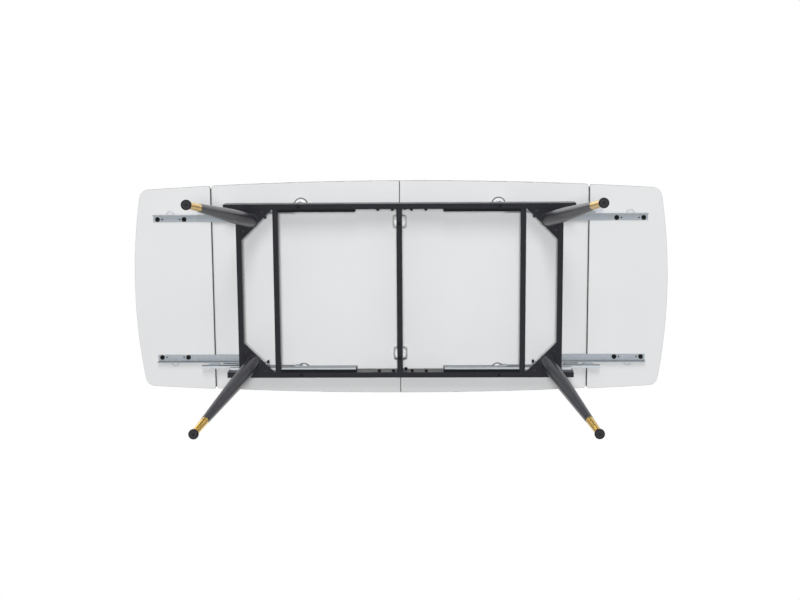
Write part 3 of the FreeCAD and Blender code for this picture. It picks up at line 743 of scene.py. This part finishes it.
class GeometryTree(Wiring):
    """A Geometry Nodes tree, built in code and turned into a plain mesh."""

    def __init__(self, name: str) -> None:
        """Start a tree with a geometry input, a geometry output and a material input.

        Args:
            name: The tree's name.
        """
        super().__init__(bpy.data.node_groups.new(name, "GeometryNodeTree"))
        self.keys: dict[str, str] = {}
        for way in ("INPUT", "OUTPUT"):
            self.tree.interface.new_socket("Geometry", in_out=way, socket_type="NodeSocketGeometry")
        self.entry = self.add("NodeGroupInput")
        self.exit = self.add("NodeGroupOutput")
        self.declare("Finish", "NodeSocketMaterial")

    def declare(self, name: str, kind: str) -> bpy.types.NodeSocket:
        """Add a named input.

        Args:
            name: The input's name.
            kind: The type of its socket.

        Returns:
            Its socket inside the tree.
        """
        item = self.tree.interface.new_socket(name, in_out="INPUT", socket_type=kind)
        self.keys[name] = item.identifier
        return self.entry.outputs[name]

    def close(self, geometry: bpy.types.NodeSocket, smooth: bool) -> None:
        """End the tree with real meshes in the finish.

        Args:
            geometry: What the tree has made.
            smooth: Whether it is shaded smooth.
        """
        real = self.add("GeometryNodeRealizeInstances", {}, {"Geometry": geometry})
        shaded = self.add("GeometryNodeSetShadeSmooth", {},
                          {"Geometry": real.outputs[0], "Shade Smooth": smooth})
        dressed = self.add("GeometryNodeSetMaterial", {},
                           {"Geometry": shaded.outputs[0], "Material": self.entry.outputs["Finish"]})
        self.give(self.exit.inputs[0], dressed.outputs[0])

    def run(self, name: str, seed: bpy.types.Mesh, values: dict[str, Any]) -> bpy.types.Object:
        """Run the tree once.

        Args:
            name: The name of the new piece.
            seed: The mesh that the tree starts from.
            values: A value for each named input.

        Returns:
            A piece with the result as its own mesh.
        """
        carrier = new_object(name + "_carrier", seed)
        modifier = carrier.modifiers.new("tree", "NODES")
        modifier.node_group = self.tree
        for key, value in values.items():
            modifier[self.keys[key]] = value
        bpy.context.view_layer.update()
        ready = carrier.evaluated_get(bpy.context.evaluated_depsgraph_get())
        mesh = bpy.data.meshes.new_from_object(ready)
        mesh.name = name
        carrier.modifiers.remove(modifier)
        bpy.data.objects.remove(carrier)
        return new_object(name, mesh)


class Repeater:
    """Sets copies of a small template at marked points, each with its own turn."""

    def __init__(self, paintbox: Paintbox) -> None:
        """Build the tree: a template on points, turned by their attribute.

        Args:
            paintbox: Where the copies' materials come from.
        """
        self.paintbox = paintbox
        self.tree = GeometryTree("repeat_on_points")
        template = self.tree.declare("Template", "NodeSocketObject")
        info = self.tree.add("GeometryNodeObjectInfo", {}, {"Object": template})
        turn = self.tree.add("GeometryNodeInputNamedAttribute", {"data_type": "FLOAT_VECTOR"},
                             {"Name": "turn"})
        rotation = self.tree.add("FunctionNodeEulerToRotation", {}, {0: turn.outputs[0]})
        copies = self.tree.add("GeometryNodeInstanceOnPoints", {}, {
            "Points": self.tree.entry.outputs["Geometry"], "Instance": info.outputs["Geometry"],
            "Rotation": rotation.outputs[0]})
        self.tree.close(copies.outputs[0], smooth=False)

    def repeat(self, name: str, template: bpy.types.Mesh, spots: Sequence[Spot], finish: Finishes,
               role: Role) -> None:
        """Copy a template to several spots, as one piece.

        Args:
            name: The name of the new piece.
            template: The mesh to copy, with its seat at the origin.
            spots: Each copy's place and its turn about X, Y and Z.
            finish: The finish of all the copies.
            role: What the piece rides on and stands for.
        """
        seed = bpy.data.meshes.new(name + "_spots")
        seed.from_pydata([place for place, _ in spots], [], [])
        turn = seed.attributes.new("turn", "FLOAT_VECTOR", "POINT")
        for item, (_, angles) in zip(turn.data, spots):
            item.vector = angles
        model = new_object(name + "_template", template)
        piece = self.tree.run(name, seed, {"Template": model, "Finish": self.paintbox.material(finish)})
        bpy.data.objects.remove(model)
        role.give(piece)


class SpringWinder:
    """Winds round wire into coils that lie along X."""

    turn_steps: int = 20
    wire_sides: int = 8

    def __init__(self) -> None:
        """Build the tree: a spiral with a round section, laid down along X."""
        self.tree = GeometryTree("coil_spring")
        start = self.tree.declare("Start", "NodeSocketVector")
        names = ("Length", "Radius", "Wire", "Turns")
        length, radius, wire, turns = [self.tree.declare(name, "NodeSocketFloat") for name in names]
        coil = self.tree.add("GeometryNodeCurveSpiral", {}, {
            "Resolution": self.turn_steps, "Rotations": turns, "Start Radius": radius,
            "End Radius": radius, "Height": length})
        section = self.tree.add("GeometryNodeCurvePrimitiveCircle", {}, {
            "Resolution": self.wire_sides, "Radius": wire})
        tube = self.tree.add("GeometryNodeCurveToMesh", {}, {
            "Curve": coil.outputs[0], "Profile Curve": section.outputs[0], "Fill Caps": True})
        laid = self.tree.add("GeometryNodeTransform", {}, {
            "Geometry": tube.outputs[0], "Translation": start, "Rotation": (0.0, math.pi / 2, 0.0)})
        self.tree.close(laid.outputs[0], smooth=True)

    def wind(self, name: str, node: str, wire: float, turns: int,
             finish: bpy.types.Material) -> bpy.types.Object:
        """Wind one coil where a node lies.

        Args:
            name: The name of the new piece.
            node: The node whose box the coil fills.
            wire: Radius of the wire.
            turns: How many turns it has.
            finish: Its material.

        Returns:
            The coil.
        """
        low, high = node_box(node)
        values = {"Start": (low.x + wire, (low.y + high.y) / 2, (low.z + high.z) / 2),
                  "Length": high.x - low.x - 2 * wire, "Radius": (high.y - low.y) / 2 - wire,
                  "Wire": wire, "Turns": float(turns), "Finish": finish}
        return self.tree.run(name, bpy.data.meshes.new(name + "_seed"), values)


def bridge(body: bmesh.types.BMesh, rings: Sequence[Sequence[bmesh.types.BMVert]]) -> None:
    """Join each ring of points to the next with faces.

    Args:
        body: The body that the points are in.
        rings: The rings, in order; a ring of one point is a pole.
    """
    for low, high in zip(rings, rings[1:]):
        count = max(len(low), len(high))
        for i in range(count):
            j = (i + 1) % count
            loop = [low[i % len(low)], low[j % len(low)], high[j % len(high)], high[i % len(high)]]
            body.faces.new(list(dict.fromkeys(loop)))


def closed_mesh(body: bmesh.types.BMesh, name: str) -> bpy.types.Mesh:
    """Turn a body's faces outwards and make it a mesh.

    Args:
        body: The body, which is freed.
        name: The mesh's name.

    Returns:
        The mesh.
    """
    bmesh.ops.recalc_face_normals(body, faces=body.faces)
    mesh = bpy.data.meshes.new(name)
    body.to_mesh(mesh)
    body.free()
    return mesh


def round_point(angle: float, power: float) -> Pair:
    """Find a point of a ring of radius one.

    Args:
        angle: The point's angle.
        power: Two for a round ring, more for a squarer one.

    Returns:
        The point.
    """
    across, along = math.cos(angle), math.sin(angle)
    reach = (abs(across) ** power + abs(along) ** power) ** (-1 / power)
    return reach * across, reach * along


def lathe(name: str, outline: Outline, steps: int = 48,
          powers: dict[int, float] | None = None) -> bpy.types.Mesh:
    """Turn an outline round the Z axis.

    Args:
        name: The mesh's name.
        outline: Radius and height of each point, from the axis to the axis.
        steps: Faces round the axis.
        powers: A power over two for each point of the outline whose ring is squared.

    Returns:
        A closed mesh whose faces point outwards.
    """
    body = bmesh.new()
    rings = []
    for place, (radius, height) in enumerate(outline):
        angles = [2 * math.pi * i / steps for i in range(steps)] if radius > 0 else [0.0]
        points = [round_point(angle, (powers or {}).get(place, 2.0)) for angle in angles]
        rings.append([body.verts.new((radius * x, radius * y, height)) for x, y in points])
    bridge(body, rings)
    return closed_mesh(body, name)


@dataclass(frozen=True)
class SocketBolt:
    """A button-head bolt with a hexagon socket, its seat at the origin and its head upwards.

    Attributes:
        head: Radius of the head.
        height: Height of the head.
        shank: Radius of the shank.
        length: Length of the shank below the seat.
        crown: The head's outline, as shares of its radius and height.
        socket: Radius of the socket at its corners, as a share of the head's.
        floor: Height of the socket's floor, as a share of the head's.
        sides: Points round each ring.
    """

    head: float
    height: float
    shank: float
    length: float
    crown: Outline = ((1.0, 0.0), (1.0, 0.35), (0.93, 0.66), (0.76, 0.9), (0.6, 1.0))
    socket: float = 0.42
    floor: float = 0.35
    sides: int = 24

    def ring(self, body: bmesh.types.BMesh, radius: float, level: float,
             hexagon: bool = False) -> list[bmesh.types.BMVert]:
        """Add a ring of points.

        Args:
            body: The body that gets them.
            radius: The ring's radius, at a hexagon's corners.
            level: Its height.
            hexagon: Whether the ring is drawn in to a hexagon.

        Returns:
            The points.
        """
        points = []
        for i in range(self.sides):
            angle = 2 * math.pi * i / self.sides
            offset = (angle % (math.pi / 3)) - math.pi / 6
            reach = radius * (math.cos(math.pi / 6) / math.cos(offset) if hexagon else 1.0)
            points.append(body.verts.new((reach * math.cos(angle), reach * math.sin(angle), level)))
        return points

    def mesh(self, name: str) -> bpy.types.Mesh:
        """Build the bolt.

        Args:
            name: The mesh's name.

        Returns:
            A closed mesh.
        """
        body = bmesh.new()
        rings = [self.ring(body, self.shank, level) for level in (-self.length, 0.0)]
        rings += [self.ring(body, self.head * out, self.height * up) for out, up in self.crown]
        key = self.head * self.socket
        rings += [self.ring(body, key, self.height * up, hexagon=True) for up in (1.0, self.floor)]
        body.faces.new(list(reversed(rings[0])))
        body.faces.new(rings[-1])
        bridge(body, rings)
        return closed_mesh(body, name)


def strip(name: str, x: Pair, half_length: float, z: Pair,
          steps: int = 5, softness: float = 0.3) -> bpy.types.Object:
    """A soft strip along Y with a rounded section.

    Args:
        name: The piece's name.
        x: Its two sides.
        half_length: Half its length.
        z: Its bottom and top.
        steps: Points round each edge.
        softness: Radius of its edges, as a share of its width.

    Returns:
        A piece with rounded edges along its length.
    """
    ease = softness * (x[1] - x[0])
    corners = [(x[1] - ease, z[1] - ease, 0), (x[0] + ease, z[1] - ease, 1),
               (x[0] + ease, z[0] + ease, 2), (x[1] - ease, z[0] + ease, 3)]
    section = []
    for across, level, quarter in corners:
        for i in range(steps):
            angle = (quarter + i / (steps - 1)) * math.pi / 2
            section.append((across + ease * math.cos(angle), level + ease * math.sin(angle)))
    body = bmesh.new()
    ends = [[body.verts.new((across, y, level)) for across, level in section]
            for y in (-half_length, half_length)]
    bridge(body, ends)
    for end in ends:
        body.faces.new(end)
    return new_object(name, closed_mesh(body, name))


@dataclass
class TableTop:
    """The two fixed halves and the two leaves, with dark strips that stand in for the shade in the seams
    between them.
    """

    paintbox: Paintbox
    gap: float = 0.0002
    corner: float = 0.009
    ease: float = 0.0012

    def dress(self) -> None:
        """Put the board finish on all four panels and fill the seams."""
        names = [f"{kind}_{side.word}" for kind in ("main_top", "leaf") for side in Side]
        self.paintbox.paint_nodes(Finishes.BOARD, names)
        for side in Side:
            self.build_leaf_strip(side)
        self.build_centre_strip()

    def build_leaf_strip(self, side: Side) -> None:
        """The dark strip on a leaf's inner edge, put in for the seam's shade, which slides under the fixed
        top with it.

        Args:
            side: The leaf's side.
        """
        main_low, main_high = node_box(f"main_top_{side.word}")
        leaf_low, leaf_high = node_box(f"leaf_{side.word}")
        seam = sorted((main_low.x, leaf_high.x) if side is Side.LEFT else (main_high.x, leaf_low.x))
        piece = strip(f"leaf_strip_{side.word}", (seam[0] + self.gap, seam[1] - self.gap),
                      leaf_high.y - self.corner, (leaf_low.z + self.ease, leaf_high.z - self.ease))
        self.finish_strip(piece, f"{side.word}_leaf")

    def build_centre_strip(self) -> None:
        """The dark strip between the two fixed halves, put in for the seam's shade."""
        _, left_high = node_box("main_top_left")
        right_low, right_high = node_box("main_top_right")
        piece = strip("centre_strip", (left_high.x + self.gap, right_low.x - self.gap),
                      right_high.y - self.ease, (right_low.z + self.ease, right_high.z - self.ease))
        self.finish_strip(piece, "frame")

    def finish_strip(self, piece: bpy.types.Object, body: str) -> None:
        """Put the dark seam finish on a strip and say what it rides on."""
        piece.data.materials.append(self.paintbox.material(Finishes.RUBBER))
        Role(body, "cap_plastic").give(piece)


@dataclass
class UnderFrame:
    """The welded frame with its bolts, standoffs, collars, screws and weld beads.

    A standoff is a rim, from the axis out and down, and a stem with its radius, the radius at its
    lower end and the height of the bevel there. A weld bead's outline is in shares of its radius.
    """

    paintbox: Paintbox
    repeater: Repeater
    joint_bolt: SocketBolt = SocketBolt(head=0.006, height=0.007, shank=0.003, length=0.006)
    joint_x: Pair = (0.035, 0.088)
    joint_rise: float = 0.021
    plug_x: float = 0.011
    plug_rise: float = 0.060
    rail_rim: Outline = (
        (0.0, 0.0), (0.0262, 0.0), (0.027, 0.0008), (0.027, 0.002), (0.0262, 0.003), (0.0248, 0.0034),
        (0.0242, 0.0026), (0.0225, 0.003), (0.0168, 0.0068), (0.016, 0.0078), (0.0155, 0.0095))
    rail_stem: tuple[float, float, float] = (0.015, 0.0138, 0.002)
    plate_rim: Outline = (
        (0.0, 0.0), (0.0252, 0.0), (0.026, 0.0008), (0.026, 0.0022), (0.0252, 0.003), (0.0238, 0.003),
        (0.0232, 0.0024), (0.0205, 0.003), (0.0188, 0.0038), (0.018, 0.006))
    plate_stem: tuple[float, float, float] = (0.018, 0.0162, 0.0025)
    plate_rings: range = range(1, 8)
    plate_power: float = 7.0
    collar: Outline = ((0.0, 0.0), (0.0271, 0.0), (0.0275, 0.0006), (0.0275, 0.0016), (0.0263, 0.0028),
                       (0.0245, 0.0032), (0.0, 0.0032))
    collar_inset: Pair = (0.0355, 0.040)
    gusset_screw: SocketBolt = SocketBolt(head=0.0045, height=0.0022, shank=0.002, length=0.003)
    screw_insets: Outline = ((0.008, 0.078), (0.078, 0.008))
    bead: float = 0.0022
    bead_outline: Outline = ((0.0, -1.0), (0.8, -0.6), (1.0, 0.0), (0.8, 0.6), (0.0, 1.0))
    bead_steps: int = 8
    bead_step: float = 0.0026
    bead_sink: float = 0.0004

    def __post_init__(self) -> None:
        """Read the frame's faces from its nodes."""
        rail_low, rail_high = node_box("rail_rear_right")
        self.rail_inner, self.bottom, self.top = rail_low.y, rail_low.z, rail_high.z
        self.joint = rail_low.x
        self.underside = node_box("main_top_right")[0].z
        self.tubes = [f"{kind}_{side.word}" for kind in ("end_tube", "inner_tube") for side in Side]
        self.tubes.append("centre_tube")

    def dress(self) -> None:
        """Finish the tubes and make the small pieces."""
        self.paintbox.paint_nodes(Finishes.FRAME, self.tubes + ["rail_inserts"])
        self.paintbox.paint_corners(Finishes.FRAME, "rail", "gusset")
        self.paintbox.paint_nodes(Finishes.SUPPORT, ["slide_supports"])
        self.paintbox.paint_nodes(Finishes.BOLT, ["leg_bolts", "standoff_bolts"])
        self.paintbox.paint_nodes(Finishes.PLASTIC, ["rail_caps"])
        self.build_joint_bolts()
        self.build_rail_cups()
        self.build_centre_cups()
        self.build_collars()
        self.build_gusset_screws()
        self.build_weld_beads()

    def stem(self, radius: float, end: float, ease: float) -> list[Pair]:
        """The outline of a standoff's stem, down to the frame and in to the axis."""
        height = self.underside - self.top
        return [(radius, height - ease), (end, height), (0.0, height)]

    def under_gussets(self, insets: Outline) -> list[Spot]:
        """Find spots on the lower faces of the gussets.

        Args:
            insets: How far in from a gusset's outer corner each spot lies, along X and Y.

        Returns:
            Every spot's place and turn, head down.
        """
        spots = []
        for side, row in CORNERS:
            low, high = node_box(corner_node("gusset", side, row))
            outer_x, outer_y = max(abs(low.x), abs(high.x)), max(abs(low.y), abs(high.y))
            for inset_x, inset_y in insets:
                place = (side.value * (outer_x - inset_x), row.value * (outer_y - inset_y), low.z)
                spots.append((place, HEAD_DOWN))
        return spots

    def build_joint_bolts(self) -> None:
        """The socket bolts at the joint of each rail's halves, and a stud above them by the centre tube."""
        places = [(side.value * x, self.joint_rise) for side in Side for x in self.joint_x]
        places.append((self.plug_x, self.plug_rise))
        spots = [((self.joint + x, row.value * self.rail_inner, self.bottom + rise), row.inward)
                 for row in Row for x, rise in places]
        self.repeater.repeat("rail_joint_bolts", self.joint_bolt.mesh("joint_bolt"), spots, Finishes.BOLT,
                             Role("frame", "bolt_black", "joint_bolts"))

    def build_rail_cups(self) -> None:
        """The turned standoffs on the rails, each flared to a beaded rim under the top."""
        template = lathe("rail_cup", [*self.rail_rim, *self.stem(*self.rail_stem)])
        x, y = RAIL_CUP_CENTRE
        spots = [((side.value * x, row.value * y, self.underside), HEAD_DOWN) for side, row in CORNERS]
        self.repeater.repeat("rail_cups", template, spots, Finishes.RAIL_CUP,
                             Role("frame", "standoff_chrome", "standoffs"))

    def build_centre_cups(self) -> None:
        """The standoffs on the centre tube, each a boss on a square plate across the seam."""
        template = lathe("centre_cup", [*self.plate_rim, *self.stem(*self.plate_stem)],
                         powers=dict.fromkeys(self.plate_rings, self.plate_power))
        x, y = CENTRE_CUP_CENTRE
        spots = [((x, row.value * y, self.underside), HEAD_DOWN) for row in Row]
        self.repeater.repeat("centre_cups", template, spots, Finishes.CENTRE_CUP,
                             Role("frame", "standoff_chrome"))

    def build_collars(self) -> None:
        """A round collar on each gusset, where a leg's top meets it."""
        spots = self.under_gussets([self.collar_inset])
        self.repeater.repeat("leg_collars", lathe("leg_collar", self.collar), spots, Finishes.LEG,
                             Role("frame", "leg_paint"))

    def build_gusset_screws(self) -> None:
        """The small screws that show under each gusset, by the end tube and by the rail."""
        spots = self.under_gussets(self.screw_insets)
        self.repeater.repeat("gusset_screws", self.gusset_screw.mesh("gusset_screw"), spots, Finishes.SCREW,
                             Role("frame", "bolt_black"))

    def build_weld_beads(self) -> None:
        """Fillet welds up both sides of each cross tube, where it meets the rails."""
        outline = [(self.bead * out, self.bead * up) for out, up in self.bead_outline]
        spots = []
        for name in self.tubes:
            low, high = node_box(name)
            count = int((high.z - low.z - 2 * self.bead) / self.bead_step)
            for row in Row:
                y = row.value * (self.rail_inner - self.bead_sink)
                spots += [((x, y, low.z + self.bead + i * self.bead_step), UNTURNED)
                          for x in (low.x, high.x) for i in range(count + 1)]
        self.repeater.repeat("weld_beads", lathe("weld_bead", outline, self.bead_steps), spots,
                             Finishes.FRAME, Role("frame", "frame_paint"))


@dataclass
class Legs:
    """The four splayed legs with their sleeves and feet."""

    paintbox: Paintbox

    def dress(self) -> None:
        """Finish the legs, their sleeves and their feet."""
        self.paintbox.paint_corners(Finishes.LEG, "leg")
        self.paintbox.paint_corners(Finishes.BRASS, "leg_sleeve")
        self.paintbox.paint_corners(Finishes.FOOT, "foot")


@dataclass
class LeafCarriage:
    """What carries one leaf: slides, arms, fasteners, links, springs and wire clips."""

    side: Side
    paintbox: Paintbox
    repeater: Repeater
    winder: SpringWinder
    arm_wall: float = 0.0025
    arm_bolt: SocketBolt = SocketBolt(head=0.009, height=0.004, shank=0.003, length=0.009)
    bolt_x: Pair = (0.804, 0.9035)
    bolt_y: float = 0.262
    arm_screw: SocketBolt = SocketBolt(head=0.0029, height=0.0012, shank=0.0015, length=0.0006)
    screw_x: Pair = (0.821, 0.8865)
    hook_stud: SocketBolt = SocketBolt(head=0.005, height=0.010, shank=0.002, length=0.003)
    stud_place: Point = (0.497, 0.2765, 0.692)
    spring_turns: int = 13
    spring_wire: float = 0.0008

    def dress(self) -> None:
        """Finish the carried-over nodes and make the bolts, screws, studs and springs."""
        word = self.side.word
        for row in Row:
            self.paintbox.paint_nodes(Finishes.CHANNEL, [corner_node("slide_channel", self.side, row)])
            self.paintbox.paint_nodes(Finishes.SLIDE, [corner_node("slide_runner", self.side, row)])
            self.paintbox.paint_nodes(Finishes.ARM, [corner_node("leaf_arm", self.side, row)])
        self.paintbox.paint_nodes(Finishes.ARM, [f"lift_links_{word}"])
        self.paintbox.paint_nodes(Finishes.CAGE, [f"ball_cages_{word}"])
        self.paintbox.paint_nodes(Finishes.SLIDE, [f"arm_clips_{word}"])
        self.build_bolts()
        self.build_screws()
        self.build_hook_studs()
        self.build_springs()

    def on_arms(self, places: Sequence[float], sink: float) -> list[Spot]:
        """Find spots on the line of an arm's holes, on both arms.

        Args:
            places: How far out each spot lies.
            sink: How far it lies below the arm's upper face.

        Returns:
            Every spot's place and turn, head down.
        """
        _, high = node_box(corner_node("leaf_arm", self.side, Row.REAR))
        return [((self.side.value * x, row.value * self.bolt_y, high.z - sink), HEAD_DOWN)
                for row in Row for x in places]

    def role(self, slot: str, replaced: str = "") -> Role:
        """The role of a piece that rides on this leaf."""
        return Role(f"{self.side.word}_leaf", slot, replaced)

    def build_bolts(self) -> None:
        """The socket bolts that hold the arms to the leaf."""
        word = self.side.word
        spots = self.on_arms(self.bolt_x, self.arm_wall)
        self.repeater.repeat(f"leaf_bolts_{word}", self.arm_bolt.mesh("arm_bolt"), spots, Finishes.BOLT,
                             self.role("bolt_black", f"arm_bolts_{word}"))

    def build_screws(self) -> None:
        """The small dark screws that sit in an arm's other holes."""
        spots = self.on_arms(self.screw_x, self.arm_screw.length)
        self.repeater.repeat(f"arm_screws_{self.side.word}", self.arm_screw.mesh("arm_screw"), spots,
                             Finishes.BOLT, self.role("bolt_black"))

    def build_hook_studs(self) -> None:
        """The stud on the inboard face of each arm's spring hook."""
        x, y, z = self.stud_place
        spots = [((self.side.value * x, row.value * y, z), row.inward) for row in Row]
        self.repeater.repeat(f"hook_studs_{self.side.word}", self.hook_stud.mesh("hook_stud"), spots,
                             Finishes.SCREW, self.role("bolt_black"))

    def build_springs(self) -> None:
        """A coiled tension spring beside each slide."""
        finish = self.paintbox.material(Finishes.SPRING)
        for row in Row:
            node = corner_node("lift_spring", self.side, row)
            name = corner_node("coil", self.side, row)
            piece = self.winder.wind(name, node, self.spring_wire, self.spring_turns, finish)
            self.role("spring_steel", node).give(piece)


@dataclass(frozen=True)
class Lamp:
    """A soft lamp that faces a point on the upright axis through the table's middle.

    Attributes:
        name: The lamp's name.
        place: Where it hangs.
        aim: The height of the point that it faces.
        size: Its width and height.
        power: Its power in watts.
        mirrored: Whether shiny surfaces show it.
    """

    name: str
    place: Point
    aim: float
    size: Pair
    power: float
    mirrored: bool

    def hang(self) -> None:
        """Put the lamp into the scene."""
        data = bpy.data.lights.new(self.name, "AREA")
        data.shape = "RECTANGLE"
        data.size, data.size_y = self.size
        data.energy = self.power
        lamp = new_object(self.name, data)
        lamp.visible_camera = False
        lamp.visible_glossy = self.mirrored
        facing = (Vector((0.0, 0.0, self.aim)) - Vector(self.place)).to_track_quat("-Z", "Y")
        lamp.matrix_world = Matrix.Translation(self.place) @ facing.to_matrix().to_4x4()


@dataclass
class Studio:
    """The camera at the photograph's angle, the lamps, the white surround and the floor.

    The camera's turn is about X, Y and Z, in degrees.
    """

    camera_place: Point = (0.10557, -0.66996, -3.92887)
    camera_turn: Point = (171.2698, -1.2470, 0.3670)
    focal_pixels: float = 1255.35
    image_width: int = 800
    sensor: float = 36.0
    sight: float = 60.0
    floor_half: float = 12.0
    floor_colour: Colour = (0.86, 0.86, 0.86)
    floor_rough: float = 0.8
    floor_fade: Pair = (1.4, 5.0)
    floor_glow: float = 0.4
    surround: float = 0.2
    lamps: Sequence[Lamp] = (
        Lamp("low_key", (0.1, -7.6, -8.7), aim=0.7, size=(1.8, 5.6), power=458.0, mirrored=False),
        Lamp("low_fill", (0.1, -1.05, -6.9), aim=0.7, size=(0.9, 0.9), power=320.0, mirrored=False),
        Lamp("high_key", (-2.6, -3.6, 5.0), aim=0.6, size=(2.6, 2.6), power=190.0, mirrored=True),
        Lamp("high_fill", (2.8, 0.4, 5.2), aim=0.6, size=(3.4, 3.4), power=95.0, mirrored=False),
        Lamp("side_key", (0.0, -6.0, 1.5), aim=0.4, size=(7.0, 1.0), power=260.0, mirrored=True))

    def build(self) -> None:
        """Set up the scene round the table."""
        bpy.context.scene.view_settings.view_transform = "Standard"
        self.build_camera()
        self.build_world()
        self.build_floor()
        for lamp in self.lamps:
            lamp.hang()

    def build_camera(self) -> None:
        """The photograph's view, from below the table."""
        data = bpy.data.cameras.new("photo_camera")
        data.sensor_fit = "HORIZONTAL"
        data.sensor_width = self.sensor
        data.lens = self.focal_pixels * self.sensor / self.image_width
        data.clip_end = self.sight
        camera = new_object("photo_camera", data)
        angles = [math.radians(angle) for angle in self.camera_turn]
        camera.matrix_world = Matrix.Translation(self.camera_place) @ Euler(angles).to_matrix().to_4x4()
        bpy.context.scene.camera = camera

    def build_world(self) -> None:
        """White where the camera or a mirror looks, and a plain grey light elsewhere."""
        world = bpy.data.worlds.new("studio")
        bpy.context.scene.world = world
        world.use_nodes = True
        wiring = Wiring(world.node_tree)
        wiring.tree.nodes.clear()
        path = wiring.add("ShaderNodeLightPath")
        seen = Signal(wiring, path.outputs["Is Camera Ray"])
        for name in ("Is Glossy Ray", "Is Transmission Ray"):
            seen = seen.largest(Signal(wiring, path.outputs[name]))
        white = (1.0, 1.0, 1.0, 1.0)
        lights = [wiring.add("ShaderNodeBackground", {}, {"Color": white, "Strength": strength})
                  for strength in (self.surround, 1.0)]
        mixed = wiring.mix(seen, *lights)
        wiring.add("ShaderNodeOutputWorld", {}, {"Surface": mixed.outputs[0]})

    def build_floor(self) -> None:
        """A pale floor, white far off, that the camera sees from above; from below it is clear."""
        half = self.floor_half
        mesh = bpy.data.meshes.new("floor")
        corners = [(-half, -half, 0), (half, -half, 0), (half, half, 0), (-half, half, 0)]
        mesh.from_pydata(corners, [], [(0, 1, 2, 3)])
        floor = new_object("floor", mesh)
        material = bpy.data.materials.new("floor_pale")
        graph = Graph(material)
        graph.feed("Base Color", (*self.floor_colour, 1.0))
        graph.feed("Roughness", self.floor_rough)
        _, _, reach = graph.spread((0.0, 0.0))
        far = reach.ramp(*self.floor_fade)
        white = graph.add("ShaderNodeEmission")
        pale = graph.mix(far * (1.0 - self.floor_glow) + self.floor_glow, graph.shader, white)
        geometry = graph.add("ShaderNodeNewGeometry")
        path = graph.add("ShaderNodeLightPath")
        behind = Signal(graph, geometry.outputs["Backfacing"])
        passing = 1.0 - Signal(graph, path.outputs["Is Camera Ray"]) * (1.0 - behind)
        clear = graph.add("ShaderNodeBsdfTransparent")
        graph.give(graph.output.inputs["Surface"], graph.mix(passing, pale, clear).outputs[0])
        mesh.materials.append(material)


def main() -> None:
    """Build and dress the table, then the studio round it."""
    logging.basicConfig(level=logging.INFO, format="%(name)s: %(message)s")
    paintbox = Paintbox()
    repeater, winder = Repeater(paintbox), SpringWinder()
    assemblies = [TableTop(paintbox), UnderFrame(paintbox, repeater), Legs(paintbox)]
    assemblies += [LeafCarriage(side, paintbox, repeater, winder) for side in Side]
    for assembly in assemblies:
        assembly.dress()
    Studio().build()


if __name__ == "__main__":
    main()
